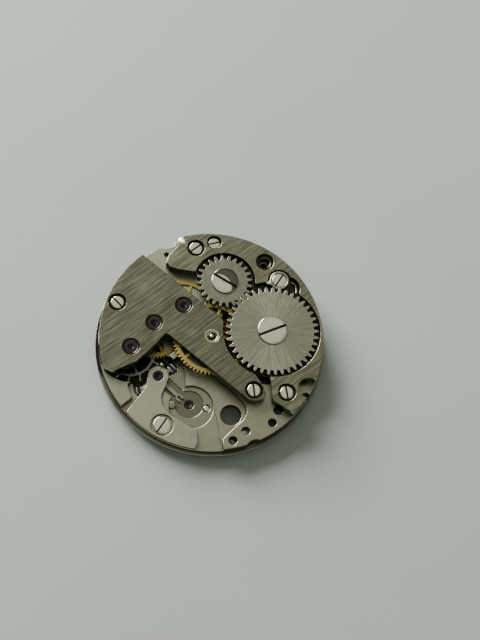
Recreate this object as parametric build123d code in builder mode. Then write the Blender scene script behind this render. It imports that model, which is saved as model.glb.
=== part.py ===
from build123d import *
import os
from math import cos, sin, radians, degrees, hypot, atan2

os.makedirs("parts", exist_ok=True)

# Hand-wound watch movement with small seconds, bridge side up, in millimetres.
# The origin is the plate's centre at the height of the minute hand post's tip.
# +Z points out of the bridges, +X and +Y lie in the plate.

# Overall sizes
casing_diameter = 23.3
flange_step_share = 0.030043
bridge_inset_share = 0.0085837
edge_bevel_share = 0.0060086
hand_reach = 1.10
flange_thickness = 0.35
plate_thickness = 1.60
bridge_thickness = 1.30
overrun = 0.5

# Clearances
pivot_gap = 0.015
thread_gap = 0.02
wheel_gap = 0.12
face_gap = 0.05

plate_radius = casing_diameter / 2
flange_step = flange_step_share * plate_radius
bridge_inset = bridge_inset_share * plate_radius
edge_bevel = edge_bevel_share * plate_radius
body_radius = plate_radius - flange_step
bridge_radius = body_radius - bridge_inset
dial_seat = hand_reach
flange_top = dial_seat + flange_thickness
plate_top = dial_seat + plate_thickness
bridge_top = plate_top + bridge_thickness


def polar(distance, angle, around=(0, 0)):
    """The point at a distance and an angle from another point."""
    x = around[0] + distance * cos(radians(angle))
    y = around[1] + distance * sin(radians(angle))
    return (x, y)


def plate_polar(share, angle):
    """The point at a share of the plate's radius and an angle."""
    return polar(share * plate_radius, angle)


def bearing(start, end):
    """The angle of the line from one point to another."""
    return degrees(atan2(end[1] - start[1], end[0] - start[0]))


def apart(start, end):
    """The distance between two points."""
    return hypot(end[0] - start[0], end[1] - start[1])


# Where the winding stem enters, and the places of the arbors
stem_angle = 76.8
barrel_distance_share = 0.52618
barrel_distance = barrel_distance_share * plate_radius
barrel_angle = 5.9
third_distance_share = 0.36824
third_distance = third_distance_share * plate_radius
third_angle = 130.5
fourth_distance_share = 0.50644
fourth_distance = fourth_distance_share * plate_radius
escape_distance_share = 0.69614
escape_distance = escape_distance_share * plate_radius
escape_angle = 188.6
pallet_distance_share = 0.55365
pallet_distance = pallet_distance_share * plate_radius
pallet_angle = 215.1
balance_distance_share = 0.58541
balance_distance = balance_distance_share * plate_radius
balance_angle = 251.2
crown_distance_share = 0.52275
crown_distance = crown_distance_share * plate_radius

centre = (0, 0)
barrel_place = polar(barrel_distance, barrel_angle)
third_place = polar(third_distance, third_angle)
fourth_place = polar(fourth_distance, stem_angle + 90)
escape_place = polar(escape_distance, escape_angle)
pallet_place = polar(pallet_distance, pallet_angle)
balance_place = polar(balance_distance, balance_angle)
crown_place = polar(crown_distance, stem_angle)


def by_stem(along, aside):
    """A point at a distance along the stem's line and a distance to its left."""
    return polar(aside, stem_angle + 90, polar(along, stem_angle))


# Tooth counts of the winding wheels, the going train and the motion work
ratchet_teeth = 41
crown_teeth = 24
winding_teeth = 11
barrel_teeth = 56
centre_leaves = 14
centre_teeth = 60
third_leaves = 8
third_teeth = 72
fourth_leaves = 9
fourth_teeth = 60
escape_leaves = 6
escape_teeth = 15
cannon_teeth = 12
minute_teeth = 36
minute_leaves = 10
hour_teeth = 40
setting_teeth = 18

winding_module = 2 * apart(barrel_place, crown_place) / (ratchet_teeth + crown_teeth)
barrel_module = 2 * apart(barrel_place, centre) / (barrel_teeth + centre_leaves)
centre_module = 2 * apart(centre, third_place) / (centre_teeth + third_leaves)
third_module = 2 * apart(third_place, fourth_place) / (third_teeth + fourth_leaves)
fourth_module = 2 * apart(fourth_place, escape_place) / (fourth_teeth + escape_leaves)

motion_distance_share = 0.22318
motion_distance = motion_distance_share * plate_radius
minute_place = by_stem(motion_distance, 0)
cannon_module = 2 * motion_distance / (cannon_teeth + minute_teeth)
hour_module = 2 * motion_distance / (minute_leaves + hour_teeth)
setting_distance = cannon_module * (minute_teeth + setting_teeth) / 2
setting_place = by_stem(motion_distance + setting_distance, 0)

# Teeth as shares of the module and of the pitch
tip_share = 1.0
root_share = 1.22
barrel_tip_share = 0.8
root_half_share = 0.30
pitch_half_share = 0.235
tip_half_share = 0.10


def pitch_radius(teeth, module):
    return teeth * module / 2


def tip_radius(teeth, module, share=tip_share):
    return teeth * module / 2 + share * module


def root_radius(teeth, module):
    return teeth * module / 2 - root_share * module


def meshing_phase(driver, driver_teeth, driver_phase, follower, follower_teeth):
    """The angle of one tooth of a wheel whose teeth sit in the gaps of its driver."""
    toward = bearing(driver, follower)
    turned = (driver_phase - toward) * driver_teeth / follower_teeth
    return toward + 180 - turned + 180 / follower_teeth


def tooth_points(teeth, module, phase, share=tip_share):
    """The outline of a toothed wheel about the origin, six points for each tooth."""
    pitch = 360 / teeth
    flank = (
        (root_radius(teeth, module), -root_half_share),
        (pitch_radius(teeth, module), -pitch_half_share),
        (tip_radius(teeth, module, share), -tip_half_share),
        (tip_radius(teeth, module, share), tip_half_share),
        (pitch_radius(teeth, module), pitch_half_share),
        (root_radius(teeth, module), root_half_share),
    )
    points = []
    for tooth in range(teeth):
        for radius, turn_share in flank:
            points.append(polar(radius, phase + (tooth + turn_share) * pitch))
    return points


def toothed_disc(teeth, module, place, low, high, phase, share=tip_share):
    """A solid toothed disc between two heights."""
    with BuildPart() as disc:
        with BuildSketch(Plane.XY.offset(low)):
            with BuildLine(Location(place)):
                Polyline(*tooth_points(teeth, module, phase, share), close=True)
            make_face()
        extrude(amount=high - low)
    return disc.part


def stepped_arbor(place, steps):
    """A turned arbor: each step has its low end, its high end and its radius."""
    with BuildPart() as arbor:
        for low, high, radius in steps:
            with BuildSketch(Plane.XY.offset(low)):
                with Locations(place):
                    Circle(radius)
            extrude(amount=high - low)
    return arbor.part


# Heights of the plate's floors and of the wheels, above the dial seat
land_height_rise = 0.95
land_height = dial_seat + land_height_rise
cock_seat_height_rise = 0.70
cock_seat_height = dial_seat + cock_seat_height_rise
floor_step = 0.14
balance_floor_rise = 0.65
balance_floor = dial_seat + balance_floor_rise
roller_sink_floor_rise = 0.50
roller_sink_floor = dial_seat + roller_sink_floor_rise
pocket_floor_rise = 0.50
pocket_floor = dial_seat + pocket_floor_rise
barrel_floor_rise = 0.55
barrel_floor = dial_seat + barrel_floor_rise
escape_level_rise = 0.62
escape_level = dial_seat + escape_level_rise
fourth_level_rise = 0.88
fourth_level = dial_seat + fourth_level_rise
third_level_rise = 1.68
third_level = dial_seat + third_level_rise
centre_level_rise = 2.12
centre_level = dial_seat + centre_level_rise
barrel_level_rise = 0.62
barrel_level = dial_seat + barrel_level_rise
bridge_roof_rise = 2.45
bridge_roof = dial_seat + bridge_roof_rise
barrel_roof_rise = 2.08
barrel_roof = dial_seat + barrel_roof_rise
winding_floor_rise = 2.42
winding_floor = dial_seat + winding_floor_rise
stem_height_rise = 1.30
stem_height = dial_seat + stem_height_rise
wheel_thickness = 0.12
centre_wheel_thickness = 0.15

# Jewels and bearings
train_jewel_radius = 0.63
train_jewel_thickness = 0.30
pallet_jewel_radius = 0.53
pallet_jewel_thickness = 0.22
balance_jewel_radius = 0.49
balance_jewel_thickness = 0.12
jewel_sink_radius = 0.87
jewel_sink_depth = 0.12
lower_jewel_low_rise = 0.18
lower_jewel_low = dial_seat + lower_jewel_low_rise
oil_sink_share = 0.45
oil_sink_depth_share = 0.35
third_pivot_radius = 0.11
fourth_pivot_radius = 0.12
escape_pivot_radius = 0.08
pallet_pivot_radius = 0.07
balance_pivot_radius = 0.06
centre_pivot_radius = 0.32
bushing_radius = 0.74
lower_bushing_radius = 0.62
bushing_thickness = 0.42
shoulder_gap = 0.03

# Barrel
drum_radius_share = 0.39485
drum_radius = drum_radius_share * plate_radius
drum_wall = 0.22
drum_floor = 0.20
barrel_tooth_height = 0.30
drum_height = 1.32
cover_thickness = 0.20
barrel_arbor_radius = 0.62
barrel_core_radius_share = 0.09871
barrel_core_radius = barrel_core_radius_share * plate_radius
barrel_core_low_rise = 0.86
barrel_core_low = dial_seat + barrel_core_low_rise
barrel_core_high_rise = 1.70
barrel_core_high = dial_seat + barrel_core_high_rise
barrel_pivot_radius = 0.45
barrel_square_side = 0.80
spring_half_turns = 22
spring_thickness = 0.13
spring_clearance = 0.05
spring_low_rise = 0.88
spring_low = dial_seat + spring_low_rise
spring_height = 0.80

# Winding wheels
ratchet_thickness = 0.48
ratchet_lift = 0.02
ratchet_recess_radius_share = 0.41631
ratchet_recess_radius = ratchet_recess_radius_share * plate_radius
crown_thickness = 0.44
crown_lift = 0.03
crown_recess_radius_share = 0.26781
crown_recess_radius = crown_recess_radius_share * plate_radius
crown_core_radius_share = 0.11159
crown_core_radius = crown_core_radius_share * plate_radius
ratchet_screw_radius_share = 0.12876
ratchet_screw_radius = ratchet_screw_radius_share * plate_radius
crown_screw_radius_share = 0.11674
crown_screw_radius = crown_screw_radius_share * plate_radius
winding_screw_height = 0.20
winding_thread_radius = 0.28
winding_hole_radius = winding_thread_radius + thread_gap
winding_screw_length = 0.70
winding_slot_width = 0.24
ratchet_slot_angle = 22
crown_slot_angle = -32

# Bridge screws and their seats
screw_radius = 0.66
screw_recess_radius = 0.90
screw_head_height = 0.30
screw_sink_depth = 0.34
screw_thread_radius = 0.34
screw_hole_radius = screw_thread_radius + thread_gap
screw_length = 1.60
screw_slot_width = 0.15
screw_slot_depth = 0.12
screw_edge = 0.04
seat_gap = 0.005
pallet_screw_radius = 0.88
pallet_screw_recess_radius = 1.12
pallet_screw_height = 0.26
pallet_screw_sink = 0.286

# Places of the screws and holes, as distance and angle from the plate's centre
bridge_screw_polar = ((0.83176, 99.0), (0.80172, -38.5), (0.86266, 159.7), (0.59485, -54.0))
bridge_screw_slots = (38, -82, -48, -85)
empty_screw_polar = (0.84549, 55.7)
empty_hole_radius = 0.55
setting_screw_polar = (0.87897, 87.8)
setting_screw_head_radius = 0.62
setting_screw_recess_radius = 0.74
setting_screw_thread_radius = 0.30
setting_screw_hole_radius = setting_screw_thread_radius + thread_gap
setting_screw_sink = 0.55
pallet_screw_polar = (0.8618, -119.2)
click_polar = (0.79914, 41.3)

# Wheel blanks
rim_width_share = 0.0309
rim_width = rim_width_share * plate_radius
spoke_width = 0.26
spoke_count = 5
hub_radius_share = 0.05322
hub_radius = hub_radius_share * plate_radius
staking_radius = 0.34


def crossed_wheel(teeth, module, place, low, thickness, phase, bore):
    """A toothed wheel with a rim, a hub and spokes."""
    rim_inner = root_radius(teeth, module) - rim_width
    with BuildPart() as wheel:
        add(toothed_disc(teeth, module, place, low, low + thickness, phase))
        with BuildSketch(Plane.XY.offset(low)):
            with Locations(place):
                Circle(rim_inner)
                Circle(hub_radius, mode=Mode.SUBTRACT)
                with PolarLocations(0, spoke_count, start_angle=phase):
                    Rectangle(rim_inner, spoke_width, align=(Align.MIN, Align.CENTER), mode=Mode.SUBTRACT)
        extrude(amount=thickness, mode=Mode.SUBTRACT)
        with BuildSketch(Plane.XY.offset(low)):
            with Locations(place):
                Circle(bore)
        extrude(amount=thickness, mode=Mode.SUBTRACT)
    return wheel.part


def pierced_jewel(place, low, thickness, radius, hole, sink_up=True):
    """A round bearing jewel with a pivot hole and an oil sink in its outer face."""
    sink_radius = radius * oil_sink_share
    sink_depth = thickness * oil_sink_depth_share
    high = low + thickness
    with BuildPart() as jewel:
        with BuildSketch(Plane.XY.offset(low)):
            with Locations(place):
                Circle(radius - seat_gap)
                Circle(hole, mode=Mode.SUBTRACT)
        extrude(amount=thickness)
        with Locations((place[0], place[1], high - sink_depth / 2 if sink_up else low + sink_depth / 2)):
            if sink_up:
                Cone(hole, sink_radius, sink_depth, mode=Mode.SUBTRACT)
            else:
                Cone(sink_radius, hole, sink_depth, mode=Mode.SUBTRACT)
    return jewel.part


def slotted_screw(place, top, head_radius, head_height, thread_radius, length, slot_angle, slot_width):
    """A cheese-head screw with its head's top at a height and its thread below."""
    with BuildPart() as screw:
        with BuildSketch(Plane.XY.offset(top - head_height)):
            with Locations(place):
                Circle(head_radius)
        extrude(amount=head_height)
        chamfer(screw.edges().group_by(Axis.Z)[-1], screw_edge)
        with BuildSketch(Plane.XY.offset(top - screw_slot_depth)):
            with Locations(Location((*place, 0), (0, 0, slot_angle))):
                Rectangle(2 * head_radius + overrun, slot_width)
        extrude(amount=screw_slot_depth, mode=Mode.SUBTRACT)
        with BuildSketch(Plane.XY.offset(top - head_height - length)):
            with Locations(place):
                Circle(thread_radius)
        extrude(amount=length)
    return screw.part


def round_body(places, radius, low, high, mode=Mode.ADD):
    """Add or cut plain round columns in the part being built."""
    with BuildSketch(Plane.XY.offset(low)) as outline:
        with Locations(*places):
            Circle(radius)
    extrude(outline.sketch, amount=high - low, mode=mode)


def straight_body(points, low, high, mode=Mode.ADD, rounding=0):
    """Add or cut a straight-sided block in the part being built."""
    with BuildSketch(Plane.XY.offset(low)) as outline:
        with BuildLine():
            Polyline(*points, close=True)
        make_face()
        if rounding > 0:
            fillet(outline.vertices(), rounding)
    extrude(outline.sketch, amount=high - low, mode=mode)


def slot_body(start, end, width, low, high, mode=Mode.ADD):
    """Add or cut a round-ended bar between two points in the part being built."""
    middle = ((start[0] + end[0]) / 2, (start[1] + end[1]) / 2)
    with BuildSketch(Plane.XY.offset(low)) as outline:
        with Locations(Location((*middle, 0), (0, 0, bearing(start, end)))):
            SlotCenterToCenter(apart(start, end), width)
    extrude(outline.sketch, amount=high - low, mode=mode)


def by_plate(shares):
    """Points given as shares of the plate's radius."""
    return [(x * plate_radius, y * plate_radius) for x, y in shares]


def keep(piece, label):
    """Name a finished piece and write it."""
    piece.label = label
    export_step(piece, f"parts/{label}.step")


# Screw places worked out once
bridge_screw_places = [plate_polar(*place) for place in bridge_screw_polar]
empty_screw_place = plate_polar(*empty_screw_polar)
setting_screw_place = plate_polar(*setting_screw_polar)
pallet_screw_place = plate_polar(*pallet_screw_polar)
click_place = plate_polar(*click_polar)

# Outline of the low land around the balance, as shares of the plate's radius
balance_land_shares = (
    (0.106, -1.050), (0.088, -0.880), (0.196, -0.772), (0.270, -0.705), (0.297, -0.647),
    (0.290, -0.590), (0.273, -0.552), (0.190, -0.460), (0.020, -0.300), (-0.300, -0.200),
    (-0.480, -0.260), (-0.713, -0.402), (-0.705, -0.449), (-0.672, -0.518), (-0.790, -0.618),
    (-0.900, -0.700), (-0.600, -1.050),
)
number_floor_shares = (
    (-0.130, -0.520), (0.014, -0.545), (0.062, -0.787), (0.094, -1.050), (-0.560, -1.050), (-0.420, -0.750),
)
fork_pocket_shares = (
    (-0.272, -0.130), (-0.240, -0.175), (-0.218, -0.300), (-0.226, -0.430), (-0.330, -0.400), (-0.400, -0.250),
)
fork_pocket_rise = 0.62
fork_pocket_floor = dial_seat + fork_pocket_rise
balance_recess_share = (-0.172, -0.584)
balance_recess_radius_share = 0.18884
balance_recess_radius = balance_recess_radius_share * plate_radius
roller_sink_radius_share = 0.12189
roller_sink_radius = roller_sink_radius_share * plate_radius
big_hole_share = (0.165, -0.654)
big_hole_radius_share = 0.09013
big_hole_radius = big_hole_radius_share * plate_radius
cock_hole_shares = ((0.174, -0.890), (0.284, -0.808), (0.511, -0.735))
cock_hole_radius = 0.43
foot_hole_share = (0.564, -0.625)
foot_hole_radius = 0.46
rim_scoop_share = (0.378, -0.975)
rim_scoop_radius_share = 0.09871
rim_scoop_radius = rim_scoop_radius_share * plate_radius
case_scoop_share = (0.815, -0.456)
case_scoop_radius_share = 0.08755
case_scoop_radius = case_scoop_radius_share * plate_radius
case_hole_share = (0.803, -0.498)
case_hole_radius = 0.38
notch_shares = ((-0.305, 1.050), (-0.312, 0.890), (-0.400, 0.860), (-0.448, 0.868), (-0.505, 1.050))
notch_hole_share = (-0.384, 0.800)
notch_hole_radius = 0.26
cap_screw_share = (-0.041, -0.589)
cap_screw_hole_radius = 0.40

# The pallet cock's outline, as shares of the plate's radius
cock_head_radius_share = 0.09099
cock_head_radius = cock_head_radius_share * plate_radius
cock_top_rise = 1.25
cock_top = dial_seat + cock_top_rise
cock_foot_shares = (
    (-0.725, -0.640), (-0.560, -0.420), (-0.544, -0.321), (-0.363, -0.321), (-0.385, -0.400),
    (-0.426, -0.500), (-0.412, -0.580), (-0.345, -0.660),
    (-0.122, -0.795), (-0.117, -0.905), (-0.170, -0.985), (-0.700, -0.985),
)
cock_relief_radius_share = 0.29185
cock_relief_radius = cock_relief_radius_share * plate_radius
cock_relief_height_rise = 0.95
cock_relief_height = dial_seat + cock_relief_height_rise

# Pockets round the wheels
barrel_pocket_gap = 0.24
barrel_pocket_radius = tip_radius(barrel_teeth, barrel_module, barrel_tip_share) + barrel_pocket_gap
centre_pocket_radius = tip_radius(centre_teeth, centre_module) + wheel_gap
third_pocket_radius = tip_radius(third_teeth, third_module) + wheel_gap
fourth_pocket_radius = tip_radius(fourth_teeth, fourth_module) + wheel_gap
escape_radius_share = 0.26609
escape_radius = escape_radius_share * plate_radius
escape_pocket_radius = escape_radius + wheel_gap + face_gap
pinion_pocket_radius_share = 0.08584
pinion_pocket_radius = pinion_pocket_radius_share * plate_radius

# Keyless works on the dial side, in the stem's directions
motion_recess_depth = 0.34
keyless_recess_depth = 0.62
keyless_corners = (
    (5.10, -1.15), (6.60, -2.40), (10.20, -2.40), (10.65, -1.60), (10.65, 2.30), (10.00, 3.05),
    (5.10, 3.05),
)
sliding_inner_share = 0.59657
sliding_inner = sliding_inner_share * plate_radius
sliding_outer_share = 0.70815
sliding_outer = sliding_outer_share * plate_radius
sliding_travel = 0.40
winding_outer_share = 0.79828
winding_outer = winding_outer_share * plate_radius
sliding_radius = 0.75
contrate_radius_share = 0.07983
contrate_radius = contrate_radius_share * plate_radius
winding_tip_radius_share = 0.103
winding_tip_radius = winding_tip_radius_share * plate_radius
stem_bore_radius = 0.57
window_gap = 0.08

hour_recess_radius = tip_radius(hour_teeth, hour_module) + wheel_gap
minute_recess_radius = tip_radius(minute_teeth, cannon_module) + wheel_gap
setting_recess_radius = tip_radius(setting_teeth, cannon_module) + wheel_gap

# Pallet fork and its stones
lever_thickness = 0.15
fork_level_rise = 0.61
fork_level = dial_seat + fork_level_rise
arm_block_low_rise = 0.56
arm_block_low = dial_seat + arm_block_low_rise
arm_block_height = 0.28
banking_angle = 3.3
lever_angle = bearing(pallet_place, balance_place) - banking_angle
lever_length_share = 0.27468
lever_length = lever_length_share * plate_radius
horn_width = 0.62
horn_length = 0.50
notch_width = 0.22
notch_depth = 0.42
entry_arm_length_share = 0.14335
entry_arm_length = entry_arm_length_share * plate_radius
entry_arm_angle = 34.6
exit_arm_length_share = 0.20172
exit_arm_length = exit_arm_length_share * plate_radius
exit_arm_angle = 217.7
arm_width = 0.40
block_length = 0.78
block_width = 0.62
stone_width = 0.24
stone_height = 0.22
stone_lift = 0.08
stone_bite = 0.12
stone_half_span = 33.8
fork_swing = 7.6
exit_place = polar(exit_arm_length, exit_arm_angle, pallet_place)
toward_pallet = bearing(escape_place, pallet_place)
entry_tip = polar(escape_radius + stone_lift, toward_pallet + stone_half_span, escape_place)
exit_tip = polar(escape_radius - stone_bite, toward_pallet - stone_half_span, escape_place)
entry_place = polar(entry_arm_length, entry_arm_angle, pallet_place)
exit_place_swung = polar(exit_arm_length, exit_arm_angle + fork_swing, pallet_place)
exit_tip_angle = bearing(pallet_place, exit_tip)
exit_tip_swung = polar(apart(pallet_place, exit_tip), exit_tip_angle + fork_swing, pallet_place)
banking_share = (-0.335, -0.562)
banking_radius = 0.38
banking_height = 0.35

# The centre arbor, its pinion and its bearings
centre_floor_rise = 0.60
centre_floor = dial_seat + centre_floor_rise
centre_pinion_low_rise = 0.62
centre_pinion_low = dial_seat + centre_pinion_low_rise
centre_pinion_height = 0.42
centre_arbor_radius = 0.55
centre_staking_radius = 0.45
centre_post_radius = 0.24
centre_post_low = 0.06
centre_bore_radius = tip_radius(centre_leaves, barrel_module) + wheel_gap
fourth_leaf_low_rise = 1.32
fourth_leaf_low = dial_seat + fourth_leaf_low_rise
fourth_leaf_height = 0.58
escape_leaf_low_rise = 0.80
escape_leaf_low = dial_seat + escape_leaf_low_rise
escape_leaf_height = 0.34
arbor_radius = 0.22
seconds_reach = 0.90

over_top = plate_top + overrun
over_bridge = bridge_top + overrun
under_seat = dial_seat - overrun
motion_floor = dial_seat + motion_recess_depth
keyless_floor = dial_seat + keyless_recess_depth
window_inner = sliding_inner - sliding_travel - window_gap
window_outer = winding_outer + window_gap
pinion_window = contrate_radius + window_gap
winding_window = winding_tip_radius + window_gap
second_foot_polar = (0.85408, 137.0)
stone_slot_width = 1.06
lever_slot_width = 1.34
yoke_along_share = 0.65236
yoke_along = yoke_along_share * plate_radius
yoke_aside_share = 0.2103
yoke_aside = yoke_aside_share * plate_radius
yoke_place = by_stem(yoke_along, yoke_aside)
yoke_post_end_rise = 0.34
yoke_post_end = dial_seat + yoke_post_end_rise
yoke_post_radius = 0.20
inner_cover_screw = (5.62, 2.58)
outer_cover_screw = (9.28, 2.66)
cover_screw_places = [by_stem(*inner_cover_screw), by_stem(*outer_cover_screw)]
cover_post_radius = 0.34
cover_post_end_rise = 0.32
cover_post_end = dial_seat + cover_post_end_rise
cover_thread_radius = 0.18
cover_hole_radius = cover_thread_radius + thread_gap
cover_thread_end_rise = 0.98
cover_thread_end = dial_seat + cover_thread_end_rise
minute_post_size = 0.23
minute_post_end_rise = 0.02
minute_post_end = dial_seat + minute_post_end_rise
setting_post_size = 0.30
setting_post_end_rise = 0.12
setting_post_end = dial_seat + setting_post_end_rise
cap_recess_depth = 0.24
cap_recess_width = 1.50
cap_screw_place = (cap_screw_share[0] * plate_radius, cap_screw_share[1] * plate_radius)


def stem_box(inner, outer, aside, low, high, mode):
    """Add or cut a block along the stem's line, as wide to each side as aside."""
    corners = [by_stem(inner, -aside), by_stem(outer, -aside), by_stem(outer, aside), by_stem(inner, aside)]
    straight_body(corners, low, high, mode)


def stem_bore(radius, inner, outer, mode=Mode.SUBTRACT):
    """Cut a round hole along the stem's line."""
    start = Plane((*by_stem(inner, 0), stem_height), z_dir=(*polar(1, stem_angle), 0))
    with BuildSketch(start) as outline:
        Circle(radius)
    extrude(outline.sketch, amount=outer - inner, mode=mode)


# Main plate
with BuildPart() as main_plate:
    round_body([centre], plate_radius, dial_seat, flange_top)
    round_body([centre], body_radius, flange_top, plate_top)
    straight_body(by_plate(balance_land_shares), land_height, over_top, Mode.SUBTRACT)
    straight_body(by_plate(number_floor_shares), land_height - floor_step, over_top, Mode.SUBTRACT)
    recess_places = by_plate([balance_recess_share])
    round_body(recess_places, balance_recess_radius, balance_floor, over_top, Mode.SUBTRACT)
    round_body([balance_place], roller_sink_radius, roller_sink_floor, over_top, Mode.SUBTRACT)
    # the pallet cock's seat and the pocket that the fork swings in
    straight_body(by_plate(cock_foot_shares), cock_seat_height, over_top, Mode.SUBTRACT)
    straight_body(by_plate(fork_pocket_shares), fork_pocket_floor, over_top, Mode.SUBTRACT)
    slot_body(entry_place, exit_place, stone_slot_width, pocket_floor, over_top, Mode.SUBTRACT)
    for place, tip in ((entry_place, entry_tip), (exit_place, exit_tip), (exit_place_swung, exit_tip_swung)):
        slot_body(place, tip, stone_slot_width, pocket_floor, over_top, Mode.SUBTRACT)
    lever_end = polar(lever_length, lever_angle + banking_angle, pallet_place)
    slot_body(pallet_place, lever_end, lever_slot_width, pocket_floor, over_top, Mode.SUBTRACT)
    round_body([pallet_place], pinion_pocket_radius, pocket_floor, over_top, Mode.SUBTRACT)
    # pockets of the going train and the barrel
    round_body([escape_place], escape_pocket_radius, pocket_floor, over_top, Mode.SUBTRACT)
    round_body([fourth_place], fourth_pocket_radius, fourth_level - face_gap, over_top, Mode.SUBTRACT)
    round_body([third_place, fourth_place], pinion_pocket_radius, pocket_floor, over_top, Mode.SUBTRACT)
    round_body([centre], centre_bore_radius, centre_floor, over_top, Mode.SUBTRACT)
    round_body([barrel_place], barrel_pocket_radius, barrel_floor, over_top, Mode.SUBTRACT)
    # holes of the bearings
    train_places = [third_place, fourth_place, escape_place]
    round_body(train_places, train_jewel_radius, under_seat, over_top, Mode.SUBTRACT)
    round_body([pallet_place], pallet_jewel_radius, under_seat, over_top, Mode.SUBTRACT)
    round_body([balance_place], balance_jewel_radius, under_seat, over_top, Mode.SUBTRACT)
    round_body([centre], lower_bushing_radius, under_seat, over_top, Mode.SUBTRACT)
    round_body([barrel_place], barrel_pivot_radius + pivot_gap, under_seat, over_top, Mode.SUBTRACT)
    # holes that show on the bridge side
    round_body(by_plate([big_hole_share]), big_hole_radius, under_seat, over_top, Mode.SUBTRACT)
    round_body(by_plate(cock_hole_shares), cock_hole_radius, under_seat, over_top, Mode.SUBTRACT)
    feet = by_plate([foot_hole_share]) + [plate_polar(*second_foot_polar)]
    round_body(feet, foot_hole_radius, under_seat, over_top, Mode.SUBTRACT)
    round_body(by_plate([rim_scoop_share]), rim_scoop_radius, flange_top, over_top, Mode.SUBTRACT)
    round_body(by_plate([case_hole_share]), case_hole_radius, under_seat, over_top, Mode.SUBTRACT)
    straight_body(by_plate(notch_shares), under_seat, over_top, Mode.SUBTRACT)
    round_body(by_plate([notch_hole_share]), notch_hole_radius, under_seat, over_top, Mode.SUBTRACT)
    threaded_places = bridge_screw_places + [empty_screw_place, pallet_screw_place]
    round_body(threaded_places, screw_hole_radius, under_seat, over_top, Mode.SUBTRACT)
    round_body([setting_screw_place], setting_screw_hole_radius, under_seat, over_top, Mode.SUBTRACT)
    round_body([cap_screw_place], cap_screw_hole_radius, under_seat, over_top, Mode.SUBTRACT)
    # the stem's bore and the windows of the winding and sliding pinions
    stem_bore(stem_bore_radius, window_inner, plate_radius + overrun)
    stem_box(window_inner, window_outer, pinion_window, under_seat, over_top, Mode.SUBTRACT)
    stem_box(sliding_outer - window_gap, window_outer, winding_window, under_seat, over_top, Mode.SUBTRACT)
    # recesses on the dial side
    round_body([centre], hour_recess_radius, under_seat, motion_floor, Mode.SUBTRACT)
    round_body([minute_place], minute_recess_radius, under_seat, motion_floor, Mode.SUBTRACT)
    round_body([setting_place], setting_recess_radius, under_seat, keyless_floor, Mode.SUBTRACT)
    straight_body([by_stem(*corner) for corner in keyless_corners], under_seat, keyless_floor, Mode.SUBTRACT)
    cap_floor = dial_seat + cap_recess_depth
    slot_body(balance_place, cap_screw_place, cap_recess_width, under_seat, cap_floor, Mode.SUBTRACT)
    # posts of the minute wheel, the setting wheel, the yoke and the cover plate
    round_body([minute_place], minute_post_size, minute_post_end, motion_floor)
    round_body([setting_place], setting_post_size, setting_post_end, keyless_floor)
    round_body([yoke_place], yoke_post_radius, yoke_post_end, keyless_floor)
    round_body(cover_screw_places, cover_post_radius, cover_post_end, keyless_floor)
    round_body(cover_screw_places, cover_hole_radius, under_seat, cover_thread_end, Mode.SUBTRACT)
    # the banking post beside the fork
    round_body(by_plate([banking_share]), banking_radius, pocket_floor, pocket_floor + banking_height)
keep(main_plate.part, "main_plate")

# Outlines of the two bridges, as shares of the plate's radius; the rim trims their outer ends
barrel_bridge_shares = (
    (-0.283, 1.500), (-0.292, 0.893), (-0.288, 0.845), (-0.323, 0.796), (-0.367, 0.747), (-0.393, 0.679),
    (-0.358, 0.637), (-0.288, 0.615), (-0.114, 0.589), (-0.064, 0.532), (-0.026, 0.403), (0.000, 0.000),
    (0.476, -0.335), (0.488, -0.348), (0.507, -0.569), (0.690, -0.690), (0.800, -0.640), (1.500, -0.640),
    (1.500, 1.500),
)
train_bridge_shares = (
    (-0.694, 0.824), (-0.572, 0.730), (0.096, 0.155), (0.109, 0.099), (0.107, 0.013), (0.392, -0.377),
    (0.429, -0.445), (0.448, -0.515), (0.439, -0.555), (0.360, -0.570), (0.294, -0.557), (-0.387, 0.021),
    (-0.532, -0.137), (-0.637, -0.236), (-0.833, -0.328), (-0.905, -0.288), (-1.250, -0.200), (-1.250, 0.824),
)
click_recess_shares = (
    (0.330, 0.470), (0.458, 0.505), (0.505, 0.500), (0.600, 0.480), (0.690, 0.562), (0.764, 0.476),
    (0.773, 0.387), (0.700, 0.300), (0.400, 0.350),
)
corner_rounding_share = 0.01373
corner_rounding = corner_rounding_share * plate_radius
centre_clear_radius_share = 0.35622
centre_clear_radius = centre_clear_radius_share * plate_radius
ratchet_side_radius_share = 0.42489
ratchet_side_radius = ratchet_side_radius_share * plate_radius
drum_clear_radius_share = 0.40773
drum_clear_radius = drum_clear_radius_share * plate_radius
click_clear_radius_share = 0.09871
click_clear_radius = click_clear_radius_share * plate_radius
spring_cavity_share = (0.667, 0.452)
spring_cavity_radius_share = 0.10987
spring_cavity_radius = spring_cavity_radius_share * plate_radius
barrel_bridge_screw_count = 2
arbor_clear_radius = 0.45
third_roof_rise = 1.95
third_roof = dial_seat + third_roof_rise
fourth_roof_rise = 2.02
fourth_roof = dial_seat + fourth_roof_rise
upper_jewel_low = bridge_top - jewel_sink_depth - train_jewel_thickness


# The larger roundings of outer corners: each share of the plate's radius with its corners
barrel_bridge_rounds = {0.050: ((0.507, -0.569),), 0.090: ((0.690, -0.690),)}
train_bridge_rounds = {
    0.045: ((-0.833, -0.328), (-0.905, -0.288)), 0.025: ((0.439, -0.555),), 0.040: ((0.360, -0.570),),
}
cock_rounds = {
    0.040: ((-0.122, -0.795), (-0.117, -0.905)),
    0.060: ((-0.426, -0.500), (-0.412, -0.580), (-0.345, -0.660)),
}


def corners_at(outline, shares):
    """The corners of an outline that stand at these shares of the plate's radius."""
    places = by_plate(shares)
    corners = []
    for vertex in outline.vertices():
        if min(apart(place, (vertex.X, vertex.Y)) for place in places) < pivot_gap:
            corners.append(vertex)
    return corners


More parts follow.
